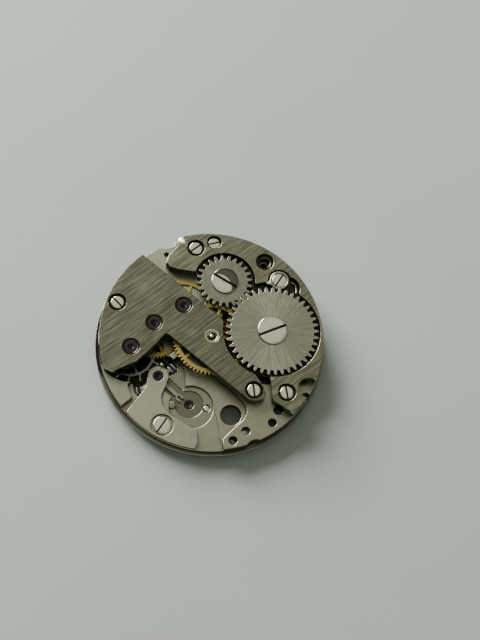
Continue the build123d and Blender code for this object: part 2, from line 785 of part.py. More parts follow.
def round_corners(outline, rounds):
    """Round the corners of the outline being built, each group with its own radius."""
    for rounding_share, shares in rounds.items():
        fillet(corners_at(outline, shares), rounding_share * plate_radius)


def bridge_body(shares, rounds):
    """The solid of a bridge between the plate's top and the bridges' top, with rounded corners."""
    with BuildPart() as body:
        with BuildSketch(Plane.XY.offset(plate_top)) as outline:
            with BuildLine():
                Polyline(*by_plate(shares), close=True)
            make_face()
            round_corners(outline, rounds)
            larger = [share for group in rounds.values() for share in group]
            fillet(corners_at(outline, [share for share in shares if share not in larger]), corner_rounding)
            Circle(bridge_radius, mode=Mode.INTERSECT)
        extrude(amount=bridge_thickness)
    return body.part


def screw_seats(places, floor, recess_radius, hole_radius):
    """Cut counterbored screw holes in the bridge being built."""
    round_body(places, recess_radius, floor, over_bridge, Mode.SUBTRACT)
    round_body(places, hole_radius, under_seat, over_bridge, Mode.SUBTRACT)


screw_floor = bridge_top - screw_sink_depth
setting_screw_floor = bridge_top - setting_screw_sink

# Barrel bridge
with BuildPart() as barrel_bridge:
    add(bridge_body(barrel_bridge_shares, barrel_bridge_rounds))
    round_body([centre], centre_clear_radius, plate_top, over_bridge, Mode.SUBTRACT)
    round_body([third_place], third_pocket_radius, plate_top, over_bridge, Mode.SUBTRACT)
    chamfer(barrel_bridge.faces().sort_by(Axis.Z)[-1].outer_wire().edges(), edge_bevel)
    # recesses for the winding wheels and the click
    round_body([barrel_place], ratchet_recess_radius, winding_floor, over_bridge, Mode.SUBTRACT)
    round_body([crown_place], crown_recess_radius, winding_floor, over_bridge, Mode.SUBTRACT)
    straight_body(by_plate(click_recess_shares), winding_floor, over_bridge, Mode.SUBTRACT)
    round_body([click_place], click_clear_radius, winding_floor, over_bridge, Mode.SUBTRACT)
    spring_cavity_place = by_plate([spring_cavity_share])
    round_body(spring_cavity_place, spring_cavity_radius, winding_floor, over_bridge, Mode.SUBTRACT)
    # room for the drum, its arbor and the stem's pinions below
    round_body([barrel_place], drum_clear_radius, plate_top - overrun, barrel_roof, Mode.SUBTRACT)
    round_body([barrel_place], barrel_arbor_radius + pivot_gap, under_seat, over_bridge, Mode.SUBTRACT)
    stem_bore(stem_bore_radius, window_inner, plate_radius + overrun)
    pinion_roof = stem_height + contrate_radius + window_gap
    stem_box(window_inner, window_outer, pinion_window, under_seat, pinion_roof, Mode.SUBTRACT)
    winding_roof = stem_height + winding_tip_radius + window_gap
    window_start = sliding_outer - window_gap
    stem_box(window_start, window_outer, winding_window, under_seat, winding_roof, Mode.SUBTRACT)
    # screw seats
    barrel_bridge_screws = bridge_screw_places[:barrel_bridge_screw_count] + [empty_screw_place]
    screw_seats(barrel_bridge_screws, screw_floor, screw_recess_radius, screw_hole_radius)
    round_body([empty_screw_place], empty_hole_radius, under_seat, over_bridge, Mode.SUBTRACT)
    setting_seat_radii = (setting_screw_recess_radius, setting_screw_hole_radius)
    screw_seats([setting_screw_place], setting_screw_floor, *setting_seat_radii)
    round_body([crown_place, click_place], winding_hole_radius, plate_top, over_bridge, Mode.SUBTRACT)
    round_body(by_plate([case_scoop_share]), case_scoop_radius, plate_top, over_bridge, Mode.SUBTRACT)
keep(barrel_bridge.part, "barrel_bridge")

# Train bridge
with BuildPart() as train_bridge:
    add(bridge_body(train_bridge_shares, train_bridge_rounds))
    round_body([barrel_place], ratchet_side_radius, plate_top, over_bridge, Mode.SUBTRACT)
    chamfer(train_bridge.faces().sort_by(Axis.Z)[-1].outer_wire().edges(), edge_bevel)
    round_body([centre], centre_pocket_radius, plate_top - overrun, bridge_roof, Mode.SUBTRACT)
    round_body([third_place], third_pocket_radius, plate_top - overrun, third_roof, Mode.SUBTRACT)
    round_body([third_place], pinion_pocket_radius, plate_top - overrun, bridge_roof, Mode.SUBTRACT)
    round_body([fourth_place], pinion_pocket_radius, plate_top - overrun, fourth_roof, Mode.SUBTRACT)
    round_body(train_places, arbor_clear_radius, plate_top - overrun, over_bridge, Mode.SUBTRACT)
    round_body(train_places, train_jewel_radius, upper_jewel_low, over_bridge, Mode.SUBTRACT)
    round_body(train_places, jewel_sink_radius, bridge_top - jewel_sink_depth, over_bridge, Mode.SUBTRACT)
    round_body([centre], bushing_radius, plate_top, over_bridge, Mode.SUBTRACT)
    train_bridge_screws = bridge_screw_places[barrel_bridge_screw_count:]
    screw_seats(train_bridge_screws, screw_floor, screw_recess_radius, screw_hole_radius)
keep(train_bridge.part, "train_bridge")

# Pallet cock
cock_screw_floor = cock_top - pallet_screw_sink
pallet_jewel_low = cock_top - pallet_jewel_thickness
with BuildPart() as pallet_cock:
    with BuildSketch(Plane.XY.offset(cock_seat_height)) as outline:
        with BuildLine():
            Polyline(*by_plate(cock_foot_shares), close=True)
        make_face()
        round_corners(outline, cock_rounds)
        with Locations(pallet_place):
            Circle(cock_head_radius)
        Circle(bridge_radius, mode=Mode.INTERSECT)
    extrude(amount=cock_top - cock_seat_height)
    chamfer(pallet_cock.faces().sort_by(Axis.Z)[-1].outer_wire().edges(), edge_bevel)
    round_body([pallet_place], cock_relief_radius, under_seat, cock_relief_height, Mode.SUBTRACT)
    round_body([pallet_place], pallet_jewel_radius, under_seat, over_bridge, Mode.SUBTRACT)
    screw_seats([pallet_screw_place], cock_screw_floor, pallet_screw_recess_radius, screw_hole_radius)
keep(pallet_cock.part, "pallet_cock")

# Phases of the wheels, so that teeth stand in gaps
ratchet_phase = 8.47
barrel_phase = 0.0
centre_phase = 2.0
third_phase = 0.0
fourth_phase = 1.5
cannon_phase = 0.0
minute_leaf_phase = stem_angle
lock_corner_angle = 2.8
crown_phase = meshing_phase(barrel_place, ratchet_teeth, ratchet_phase, crown_place, crown_teeth)
centre_leaf_phase = meshing_phase(barrel_place, barrel_teeth, barrel_phase, centre, centre_leaves)
third_leaf_phase = meshing_phase(centre, centre_teeth, centre_phase, third_place, third_leaves)
fourth_leaf_phase = meshing_phase(third_place, third_teeth, third_phase, fourth_place, fourth_leaves)
escape_leaf_phase = meshing_phase(fourth_place, fourth_teeth, fourth_phase, escape_place, escape_leaves)
minute_phase = meshing_phase(centre, cannon_teeth, cannon_phase, minute_place, minute_teeth)
hour_phase = meshing_phase(minute_place, minute_leaves, minute_leaf_phase, centre, hour_teeth)
setting_phase = meshing_phase(minute_place, minute_teeth, minute_phase, setting_place, setting_teeth)


def leafed_arbor(place, leaves, module, phase, leaf_low, leaf_high, steps):
    """An arbor with its pivots, shoulders and pinion leaves."""
    with BuildPart() as arbor:
        add(stepped_arbor(place, steps))
        add(toothed_disc(leaves, module, place, leaf_low, leaf_high, phase))
    return arbor.part


# Barrel
drum_low = barrel_level
drum_high = drum_low + drum_height
cover_low = drum_high - cover_thickness
drum_inner_radius = drum_radius - drum_wall
with BuildPart() as barrel_drum:
    tooth_top = drum_low + barrel_tooth_height
    add(toothed_disc(
        barrel_teeth, barrel_module, barrel_place, drum_low, tooth_top, barrel_phase, barrel_tip_share,
    ))
    round_body([barrel_place], drum_radius, drum_low, drum_high)
    round_body([barrel_place], drum_inner_radius, drum_low + drum_floor, drum_high, Mode.SUBTRACT)
    round_body([barrel_place], barrel_arbor_radius + pivot_gap, drum_low, drum_high, Mode.SUBTRACT)
keep(barrel_drum.part, "barrel_drum")

cover_slot_length = 1.10
cover_slot_width = 0.45
with BuildPart() as barrel_cover:
    round_body([barrel_place], drum_inner_radius - seat_gap, cover_low, drum_high)
    round_body([barrel_place], barrel_arbor_radius + pivot_gap, cover_low, drum_high, Mode.SUBTRACT)
    slot_start = polar(drum_inner_radius, stem_angle, barrel_place)
    slot_end = polar(drum_inner_radius - cover_slot_length, stem_angle, barrel_place)
    slot_body(slot_start, slot_end, cover_slot_width, cover_low, drum_high, Mode.SUBTRACT)
keep(barrel_cover.part, "barrel_cover")

square_low = winding_floor
square_high = winding_floor + ratchet_lift + ratchet_thickness - face_gap
barrel_arbor_low_rise = 0.10
barrel_arbor_low = dial_seat + barrel_arbor_low_rise
with BuildPart() as barrel_arbor:
    round_body([barrel_place], barrel_pivot_radius, barrel_arbor_low, barrel_floor + face_gap)
    round_body([barrel_place], barrel_arbor_radius, barrel_floor + face_gap, square_low)
    round_body([barrel_place], barrel_core_radius, barrel_core_low, barrel_core_high)
    with BuildSketch(Plane.XY.offset(square_low)):
        with Locations(barrel_place):
            Rectangle(barrel_square_side, barrel_square_side)
    extrude(amount=square_high - square_low)
    thread_floor = bridge_roof - winding_screw_length
    round_body([barrel_place], winding_thread_radius + seat_gap, thread_floor, square_high, Mode.SUBTRACT)
keep(barrel_arbor.part, "barrel_arbor")


def spiral_outline(inner_radius, half_turns, step, thickness):
    """Arcs of an even spiral strip: half circles about two centres half a pitch apart."""
    arcs = []
    for turn in range(half_turns):
        middle = (0, 0) if turn % 2 == 0 else (step, 0)
        start_angle = 0 if turn % 2 == 0 else 180
        radius = inner_radius + turn * step
        for side in (-thickness / 2, thickness / 2):
            arcs.append((middle, radius + side, start_angle))
    return arcs


spring_inner_radius = barrel_core_radius + spring_clearance + spring_thickness
spring_outer_radius = drum_inner_radius - spring_clearance - spring_thickness
spring_step = (spring_outer_radius - spring_inner_radius) / spring_half_turns
with BuildPart() as mainspring:
    with BuildSketch(Plane.XY.offset(spring_low)):
        with BuildLine(Location(barrel_place)):
            half_turns = spiral_outline(spring_inner_radius, spring_half_turns, spring_step, spring_thickness)
            for middle, radius, start_angle in half_turns:
                CenterArc(middle, radius, start_angle, 180)
            half_thickness = spring_thickness / 2
            Line((spring_inner_radius - half_thickness, 0), (spring_inner_radius + half_thickness, 0))
            spring_end = spring_inner_radius + spring_half_turns * spring_step
            Line((spring_end - half_thickness, 0), (spring_end + half_thickness, 0))
        make_face()
    extrude(amount=spring_height)
keep(mainspring.part, "mainspring")

# Winding wheels on top of the barrel bridge
ratchet_low = winding_floor + ratchet_lift
ratchet_high = ratchet_low + ratchet_thickness
with BuildPart() as ratchet_wheel:
    add(toothed_disc(ratchet_teeth, winding_module, barrel_place, ratchet_low, ratchet_high, ratchet_phase))
    with BuildSketch(Plane.XY.offset(ratchet_low)):
        with Locations(barrel_place):
            Rectangle(barrel_square_side + 2 * seat_gap, barrel_square_side + 2 * seat_gap)
    extrude(amount=ratchet_thickness, mode=Mode.SUBTRACT)
keep(ratchet_wheel.part, "ratchet_wheel")
ratchet_screw = slotted_screw(
    barrel_place, ratchet_high + winding_screw_height, ratchet_screw_radius, winding_screw_height,
    winding_thread_radius, winding_screw_length, ratchet_slot_angle, winding_slot_width,
)
keep(ratchet_screw, "ratchet_screw")

crown_low = winding_floor + crown_lift
crown_high = crown_low + crown_thickness
crown_core_high = crown_high + pivot_gap
with BuildPart() as crown_wheel:
    add(toothed_disc(crown_teeth, winding_module, crown_place, crown_low, crown_high, crown_phase))
    round_body([crown_place], crown_core_radius + pivot_gap, crown_low, crown_high, Mode.SUBTRACT)
keep(crown_wheel.part, "crown_wheel")
with BuildPart() as crown_wheel_core:
    round_body([crown_place], crown_core_radius, winding_floor, crown_core_high)
    round_body([crown_place], winding_hole_radius, winding_floor, crown_core_high, Mode.SUBTRACT)
keep(crown_wheel_core.part, "crown_wheel_core")
crown_screw_grip = 0.60
crown_screw_length = crown_core_high - winding_floor + crown_screw_grip
crown_wheel_screw = slotted_screw(
    crown_place, crown_core_high + winding_screw_height, crown_screw_radius, winding_screw_height,
    winding_thread_radius, crown_screw_length, crown_slot_angle, winding_slot_width,
)
keep(crown_wheel_screw, "crown_wheel_screw")

# Click, its screw and its spring
click_radius_share = 0.08326
click_radius = click_radius_share * plate_radius
click_low = winding_floor + ratchet_lift
click_thickness = 0.42
click_ledge_radius_share = 0.06781
click_ledge_radius = click_ledge_radius_share * plate_radius
click_head_radius_share = 0.06438
click_head_radius = click_head_radius_share * plate_radius
click_head_height = 0.20
click_bore_radius = 0.36
click_shoulder_radius = 0.34
beak_depth = 0.16
beak_tip_half = 0.04
beak_root_half = 0.32
beak_shoulder_half = 0.12
beak_gap_number = 9
horn_share = (0.490, 0.493)
horn_half = 0.16
horn_root_distance_share = 0.06266
horn_root_distance = horn_root_distance_share * plate_radius
click_high = click_low + click_thickness
gap_angle = ratchet_phase + (beak_gap_number - 0.5) * 360 / ratchet_teeth
ratchet_tip = tip_radius(ratchet_teeth, winding_module)


def by_gap(radius, aside):
    """A point beside the line of the ratchet's gap, by the ratchet's centre."""
    return polar(aside, gap_angle - 90, polar(radius, gap_angle, barrel_place))


with BuildPart() as click:
    round_body([click_place], click_radius, click_low, click_high)
    root_reach = ratchet_tip + click_radius / 2
    straight_body([
        by_gap(ratchet_tip - beak_depth, -beak_tip_half), by_gap(ratchet_tip - beak_depth, beak_tip_half),
        by_gap(ratchet_tip, beak_shoulder_half), by_gap(root_reach, beak_root_half),
        by_gap(root_reach, -beak_root_half), by_gap(ratchet_tip, -beak_shoulder_half),
    ], click_low, click_high)
    horn_tip = by_plate([horn_share])[0]
    horn_turn = bearing(click_place, horn_tip)
    horn_root = polar(horn_root_distance, horn_turn, click_place)
    straight_body([
        polar(horn_half / 2, horn_turn + 90, horn_tip), polar(2 * horn_half, horn_turn + 90, horn_root),
        polar(2 * horn_half, horn_turn - 90, horn_root), polar(horn_half / 2, horn_turn - 90, horn_tip),
    ], click_low, click_high)
    ledge = click_high - click_head_height - thread_gap
    round_body([click_place], click_ledge_radius, ledge, click_high, Mode.SUBTRACT)
    round_body([click_place], click_bore_radius, click_low, click_high, Mode.SUBTRACT)
keep(click.part, "click")
click_slot_angle = 57
click_screw_length = 0.90
with BuildPart() as click_screw:
    add(slotted_screw(
        click_place, click_high, click_head_radius, click_head_height,
        winding_thread_radius, click_screw_length, click_slot_angle, screw_slot_width,
    ))
    round_body([click_place], click_shoulder_radius, winding_floor, ledge + thread_gap)
keep(click_screw.part, "click_screw")

click_wire_radius = 0.09
click_wire_height_rise = 0.24
click_wire_height = winding_floor + click_wire_height_rise
click_wire_shares = ((0.729, 0.391), (0.745, 0.440), (0.738, 0.487), (0.712, 0.510), (0.697, 0.512))
with BuildPart() as click_spring:
    with BuildLine() as click_wire:
        Spline(*[(x, y, click_wire_height) for x, y in by_plate(click_wire_shares)])
    with BuildSketch(Plane(click_wire.line @ 0, z_dir=click_wire.line % 0)):
        Circle(click_wire_radius)
    sweep(path=click_wire.line)
    wire_foot = by_plate(click_wire_shares[:1])
    round_body(wire_foot, click_wire_radius, winding_floor, click_wire_height + click_wire_radius)
keep(click_spring.part, "click_spring")

# Going train
shoulder_radius = 0.46
shoulder_height = 0.08
lower_end = lower_jewel_low + train_jewel_thickness + shoulder_gap
upper_end = upper_jewel_low - shoulder_gap
pivot_low = lower_jewel_low - face_gap
pivot_high = upper_jewel_low + train_jewel_thickness
third_leaf_low_rise = 1.95
third_leaf_low = dial_seat + third_leaf_low_rise
third_leaf_high_rise = 2.36
third_leaf_high = dial_seat + third_leaf_high_rise

bushing_lower_low = motion_floor
bushing_lower_high = centre_floor
bushing_upper_low = bridge_top - bushing_thickness
centre_leaf_high = centre_pinion_low + centre_pinion_height
centre_wheel_high = centre_level + centre_wheel_thickness
centre_steps = (
    (centre_post_low, motion_floor, centre_post_radius),
    (motion_floor, centre_pinion_low, centre_pivot_radius),
    (centre_leaf_high, centre_level - shoulder_height, centre_arbor_radius),
    (centre_level - shoulder_height, centre_level, hub_radius),
    (centre_level, centre_wheel_high, centre_staking_radius),
    (centre_wheel_high, bushing_upper_low - shoulder_gap, centre_staking_radius),
    (bushing_upper_low - shoulder_gap, bridge_top - face_gap, centre_pivot_radius),
)
centre_pinion = leafed_arbor(
    centre, centre_leaves, barrel_module, centre_leaf_phase,
    centre_pinion_low, centre_leaf_high, centre_steps,
)
keep(centre_pinion, "centre_pinion")
centre_wheel_bore = centre_staking_radius + seat_gap
centre_wheel = crossed_wheel(
    centre_teeth, centre_module, centre, centre_level,
    centre_wheel_thickness, centre_phase, centre_wheel_bore,
)
keep(centre_wheel, "centre_wheel")
third_steps = (
    (pivot_low, lower_end, third_pivot_radius),
    (lower_end, third_level - shoulder_height, arbor_radius),
    (third_level - shoulder_height, third_level, shoulder_radius),
    (third_level, third_leaf_low, staking_radius),
    (third_leaf_high, upper_end, arbor_radius),
    (upper_end, pivot_high, third_pivot_radius),
)
third_pinion = leafed_arbor(
    third_place, third_leaves, centre_module, third_leaf_phase, third_leaf_low, third_leaf_high, third_steps,
)
keep(third_pinion, "third_pinion")
staking_bore = staking_radius + seat_gap
third_wheel = crossed_wheel(
    third_teeth, third_module, third_place, third_level, wheel_thickness, third_phase, staking_bore,
)
keep(third_wheel, "third_wheel")
fourth_leaf_high = fourth_leaf_low + fourth_leaf_height
fourth_steps = (
    (dial_seat - seconds_reach, lower_end, fourth_pivot_radius),
    (lower_end, fourth_level - shoulder_height, arbor_radius),
    (fourth_level - shoulder_height, fourth_level, shoulder_radius),
    (fourth_level, fourth_level + wheel_thickness, staking_radius),
    (fourth_level + wheel_thickness, fourth_leaf_low, arbor_radius),
    (fourth_leaf_high, upper_end, arbor_radius),
    (upper_end, pivot_high, fourth_pivot_radius),
)
fourth_pinion = leafed_arbor(
    fourth_place, fourth_leaves, third_module, fourth_leaf_phase,
    fourth_leaf_low, fourth_leaf_high, fourth_steps,
)
keep(fourth_pinion, "fourth_pinion")
fourth_wheel = crossed_wheel(
    fourth_teeth, fourth_module, fourth_place, fourth_level, wheel_thickness, fourth_phase, staking_bore,
)
keep(fourth_wheel, "fourth_wheel")

# Escape wheel with club teeth, each point given as a radius share and an angle from the locking corner
escape_root_share = 0.78
escape_rim_share = 0.69
escape_bore_radius = 0.26
escape_shoulder_radius = 0.36
escape_spoke_count = 4
club_tooth = (
    (escape_root_share, 4.0), (0.887, 1.6), (0.974, 0.0), (1.0, 4.2), (0.935, 4.6), (0.84, 5.0),
    (escape_root_share, 8.5),
)
escape_phase = toward_pallet - stone_half_span + lock_corner_angle
escape_leaf_high = escape_leaf_low + escape_leaf_height
with BuildPart() as escape_wheel:
    with BuildSketch(Plane.XY.offset(escape_level)):
        with BuildLine(Location(escape_place)):
            club_points = []
            for tooth in range(escape_teeth):
                tooth_angle = escape_phase + tooth * 360 / escape_teeth
                for share, turn in club_tooth:
                    club_points.append(polar(escape_radius * share, tooth_angle + turn, centre))
            Polyline(*club_points, close=True)
        make_face()
        with Locations(escape_place):
            with BuildSketch(mode=Mode.PRIVATE) as escape_windows:
                Circle(escape_radius * escape_rim_share)
                Circle(hub_radius, mode=Mode.SUBTRACT)
                with PolarLocations(0, escape_spoke_count, start_angle=escape_phase):
                    Rectangle(escape_radius, spoke_width, align=(Align.MIN, Align.CENTER), mode=Mode.SUBTRACT)
            add(escape_windows.sketch, mode=Mode.SUBTRACT)
            Circle(escape_bore_radius + seat_gap, mode=Mode.SUBTRACT)
    extrude(amount=wheel_thickness)
keep(escape_wheel.part, "escape_wheel")
escape_steps = (
    (pivot_low, lower_end, escape_pivot_radius),
    (lower_end, escape_level, escape_shoulder_radius),
    (escape_level, escape_level + wheel_thickness, escape_bore_radius),
    (escape_level + wheel_thickness, escape_leaf_low, arbor_radius),
    (escape_leaf_high, upper_end, arbor_radius),
    (upper_end, pivot_high, escape_pivot_radius),
)
escape_pinion = leafed_arbor(
    escape_place, escape_leaves, fourth_module, escape_leaf_phase,
    escape_leaf_low, escape_leaf_high, escape_steps,
)
keep(escape_pinion, "escape_pinion")

# Pallet fork, its arbor and its two stones
fork_hub_radius = 0.52
lever_root_half = 0.26
lever_tip_half = 0.15
fork_bore_radius = 0.20
pallet_step_radius = 0.30
stone_low_drop = 0.02
stone_low = fork_level - stone_low_drop
entry_back = polar(block_length / 2, bearing(entry_tip, entry_place), entry_place)
exit_back = polar(block_length / 2, bearing(exit_tip, exit_place), exit_place)


def by_lever(along, aside):
    """A point along the lever from the pallet arbor and to its left."""
    return polar(aside, lever_angle + 90, polar(along, lever_angle, pallet_place))


def stone_block(place, tip):
    """Add the block at the end of a fork's arm, in line with its stone."""
    turn = bearing(place, tip)
    with BuildSketch(Plane.XY.offset(arm_block_low)) as outline:
        with Locations(Location((*place, 0), (0, 0, turn))):
            Rectangle(block_length, block_width)
    extrude(outline.sketch, amount=arm_block_height)


def stone_bar(tip, back, width, low, high, mode=Mode.ADD):
    """Add or cut a straight bar from a stone's tip to its back."""
    turn = bearing(back, tip)
    straight_body([
        polar(width / 2, turn - 90, back), polar(width / 2, turn - 90, tip),
        polar(width / 2, turn + 90, tip), polar(width / 2, turn + 90, back),
    ], low, high, mode)


fork_high = fork_level + lever_thickness
with BuildPart() as pallet_fork:
    round_body([pallet_place], fork_hub_radius, fork_level, fork_high)
    slot_body(pallet_place, entry_place, arm_width, fork_level, fork_high)
    slot_body(pallet_place, exit_place, arm_width, fork_level, fork_high)
    horn_start = lever_length - horn_length
    horn_end = lever_length + horn_length / 2
    notch_end = lever_length - notch_depth
    near_side = [
        (0, lever_root_half), (horn_start, lever_tip_half), (horn_start, horn_width / 2),
        (horn_end, horn_width / 2), (lever_length, notch_width / 2), (notch_end, notch_width / 2),
    ]
    far_side = [(along, -aside) for along, aside in reversed(near_side)]
    straight_body([by_lever(*corner) for corner in near_side + far_side], fork_level, fork_high)
    stone_block(entry_place, entry_tip)
    stone_block(exit_place, exit_tip)
    stone_high = stone_low + stone_height
    stone_seat = stone_width + 2 * seat_gap
    stone_bar(entry_tip, entry_back, stone_seat, stone_low, over_top, Mode.SUBTRACT)
    stone_bar(exit_tip, exit_back, stone_seat, stone_low, over_top, Mode.SUBTRACT)
    round_body([pallet_place], fork_bore_radius + seat_gap, fork_level, fork_high, Mode.SUBTRACT)
keep(pallet_fork.part, "pallet_fork")
with BuildPart() as entry_stone:
    stone_bar(entry_tip, entry_back, stone_width, stone_low, stone_high)
keep(entry_stone.part, "entry_stone")
with BuildPart() as exit_stone:
    stone_bar(exit_tip, exit_back, stone_width, stone_low, stone_high)
keep(exit_stone.part, "exit_stone")
pallet_lower_low_rise = 0.24
pallet_lower_low = dial_seat + pallet_lower_low_rise
pallet_lower_end = pallet_lower_low + pallet_jewel_thickness + shoulder_gap
pallet_upper_end = pallet_jewel_low - shoulder_gap
pallet_arbor = stepped_arbor(pallet_place, (
    (pallet_lower_low - face_gap, pallet_lower_end, pallet_pivot_radius),
    (pallet_lower_end, fork_high, fork_bore_radius),
    (fork_high, fork_high + shoulder_height, pallet_step_radius),
    (fork_high + shoulder_height, pallet_upper_end, fork_bore_radius),
    (pallet_upper_end, cock_top - thread_gap, pallet_pivot_radius),
))
keep(pallet_arbor, "pallet_arbor")

# Bushings and jewels
for bushing_low, bushing_high, outer_radius, label in (
    (bushing_lower_low, bushing_lower_high, lower_bushing_radius, "centre_bushing_lower"),
    (bushing_upper_low, bridge_top, bushing_radius, "centre_bushing_upper"),
):
    with BuildPart() as bushing:
        round_body([centre], outer_radius - seat_gap, bushing_low, bushing_high)
        round_body([centre], centre_pivot_radius + pivot_gap, bushing_low, bushing_high, Mode.SUBTRACT)
    keep(bushing.part, label)

for place, pivot, label in (
    (third_place, third_pivot_radius, "third"),
    (fourth_place, fourth_pivot_radius, "fourth"),
    (escape_place, escape_pivot_radius, "escape"),
):
    hole = pivot + pivot_gap
    upper = pierced_jewel(place, upper_jewel_low, train_jewel_thickness, train_jewel_radius, hole)
    keep(upper, f"{label}_jewel_upper")
    lower = pierced_jewel(place, lower_jewel_low, train_jewel_thickness, train_jewel_radius, hole, False)
    keep(lower, f"{label}_jewel_lower")
pallet_hole = pallet_pivot_radius + pivot_gap
pallet_size = (pallet_jewel_thickness, pallet_jewel_radius, pallet_hole)
keep(pierced_jewel(pallet_place, pallet_jewel_low, *pallet_size), "pallet_jewel_upper")
keep(pierced_jewel(pallet_place, pallet_lower_low, *pallet_size, sink_up=False), "pallet_jewel_lower")

# Balance hole jewel, cap jewel, cap plate and its screw
balance_jewel_low = roller_sink_floor - balance_jewel_thickness
cap_plate_low_rise = 0.12
cap_plate_low = dial_seat + cap_plate_low_rise
cap_plate_high = dial_seat + cap_recess_depth
cap_screw_head_radius = 0.45
cap_screw_low_rise = 0.02
cap_screw_low = dial_seat + cap_screw_low_rise
cap_screw_radius = 0.30
cap_screw_top_drop = 0.02
cap_screw_top = balance_floor - cap_screw_top_drop
cap_screw_dome = 0.10
balance_size = (balance_jewel_thickness, balance_jewel_radius, balance_pivot_radius)
keep(pierced_jewel(balance_place, balance_jewel_low, *balance_size), "balance_hole_jewel")
cap_jewel_high = balance_jewel_low - thread_gap
with BuildPart() as balance_cap_jewel:
    round_body([balance_place], balance_jewel_radius - seat_gap, cap_plate_high, cap_jewel_high)
keep(balance_cap_jewel.part, "balance_cap_jewel")
with BuildPart() as balance_cap_plate:
    slot_body(balance_place, cap_screw_place, cap_recess_width - wheel_gap, cap_plate_low, cap_plate_high)
    round_body([cap_screw_place], cap_screw_radius + thread_gap, cap_plate_low, cap_plate_high, Mode.SUBTRACT)
keep(balance_cap_plate.part, "balance_cap_plate")
with BuildPart() as balance_cap_screw:
    round_body([cap_screw_place], cap_screw_head_radius, cap_screw_low, cap_plate_low)
    round_body([cap_screw_place], cap_screw_radius, cap_plate_low, cap_screw_top)
    fillet(balance_cap_screw.edges().group_by(Axis.Z)[-1], cap_screw_dome)
    with BuildSketch(Plane.XY.offset(cap_screw_low)) as cap_slot:
        with Locations(cap_screw_place):
            Rectangle(2 * cap_screw_head_radius + overrun, screw_slot_width)
    extrude(cap_slot.sketch, amount=screw_edge, mode=Mode.SUBTRACT)
keep(balance_cap_screw.part, "balance_cap_screw")

# Bridge screws share one file, as alike solids
bridge_screw_top = screw_floor + screw_head_height
with BuildPart() as bridge_screws:
    for place, turn in zip(bridge_screw_places, bridge_screw_slots):
        add(slotted_screw(
            place, bridge_screw_top, screw_radius, screw_head_height,
            screw_thread_radius, screw_length, turn, screw_slot_width,
        ))
keep(bridge_screws.part, "bridge_screws")
cock_screw_slot = 56
cock_screw_length = 0.90
cock_screw = slotted_screw(
    pallet_screw_place, cock_screw_floor + pallet_screw_height, pallet_screw_radius, pallet_screw_height,
    screw_thread_radius, cock_screw_length, cock_screw_slot, screw_slot_width,
)
keep(cock_screw, "pallet_cock_screw")
keyless_low_rise = 0.36
keyless_low = dial_seat + keyless_low_rise
keyless_high_rise = 0.58
keyless_high = dial_seat + keyless_high_rise
setting_screw_slot = 15
setting_screw_top = setting_screw_floor + screw_head_height
setting_screw_length = setting_screw_floor - keyless_low
setting_screw = slotted_screw(
    setting_screw_place, setting_screw_top, setting_screw_head_radius, screw_head_height,
    setting_screw_thread_radius, setting_screw_length, setting_screw_slot, screw_slot_width,
)
keep(setting_screw, "setting_lever_screw")

# Motion work under the dial seat
cannon_radius = 0.61
cannon_low = 0
cannon_leaf_low_rise = 0.17
cannon_leaf_low = dial_seat + cannon_leaf_low_rise
cannon_leaf_high_rise = 0.30
cannon_leaf_high = dial_seat + cannon_leaf_high_rise
minute_post_radius = 0.45
cannon_step_height = 0.45
hour_pipe_radius = 0.80
hour_pipe_low_drop = 0.60
hour_pipe_low = dial_seat - hour_pipe_low_drop
hour_low_rise = 0.03
hour_low = dial_seat + hour_low_rise
hour_high_rise = 0.15
hour_high = dial_seat + hour_high_rise
minute_low_rise = 0.17
minute_low = dial_seat + minute_low_rise
minute_high_rise = 0.27
minute_high = dial_seat + minute_high_rise
setting_low_rise = 0.16
setting_low = dial_seat + setting_low_rise
setting_high_rise = 0.56
setting_high = dial_seat + setting_high_rise
with BuildPart() as cannon_pinion:
    add(stepped_arbor(centre, (
        (cannon_low, cannon_low + cannon_step_height, minute_post_radius),
        (cannon_low + cannon_step_height, cannon_leaf_low, cannon_radius),
    )))
    add(toothed_disc(cannon_teeth, cannon_module, centre, cannon_leaf_low, cannon_leaf_high, cannon_phase))
    round_body([centre], centre_post_radius + seat_gap, cannon_low, cannon_leaf_high, Mode.SUBTRACT)
keep(cannon_pinion.part, "cannon_pinion")
with BuildPart() as hour_wheel:
    add(toothed_disc(hour_teeth, hour_module, centre, hour_low, hour_high, hour_phase))
    round_body([centre], hour_pipe_radius, hour_pipe_low, hour_low)
    round_body([centre], cannon_radius + pivot_gap, hour_pipe_low, hour_high, Mode.SUBTRACT)
keep(hour_wheel.part, "hour_wheel")
with BuildPart() as minute_wheel:
    add(toothed_disc(minute_teeth, cannon_module, minute_place, minute_low, minute_high, minute_phase))
    add(toothed_disc(minute_leaves, hour_module, minute_place, hour_low, minute_low, minute_leaf_phase))
    round_body([minute_place], minute_post_size + pivot_gap, hour_low, minute_high, Mode.SUBTRACT)
keep(minute_wheel.part, "minute_wheel")
with BuildPart() as setting_wheel:
    add(toothed_disc(setting_teeth, cannon_module, setting_place, setting_low, setting_high, setting_phase))
    round_body([setting_place], setting_post_size + pivot_gap, setting_low, setting_high, Mode.SUBTRACT)
keep(setting_wheel.part, "setting_wheel")

# Winding and sliding pinions on the stem's line
stem_module = winding_tip_radius / (winding_teeth / 2 + tip_share)
contrate_teeth = 12
contrate_module = contrate_radius / (contrate_teeth / 2 + tip_share)
pinion_gap = 0.03
stem_hole_radius = 0.36
stem_square_side = 0.50
contrate_length = 0.30
groove_start_share = 0.65236
groove_start = groove_start_share * plate_radius
groove_width = 0.32
groove_radius = 0.50


def stem_plane(along):
    """A plane across the stem's line, with its x axis upright."""
    return Plane((*by_stem(along, 0), stem_height), x_dir=(0, 0, 1), z_dir=(*polar(1, stem_angle), 0))


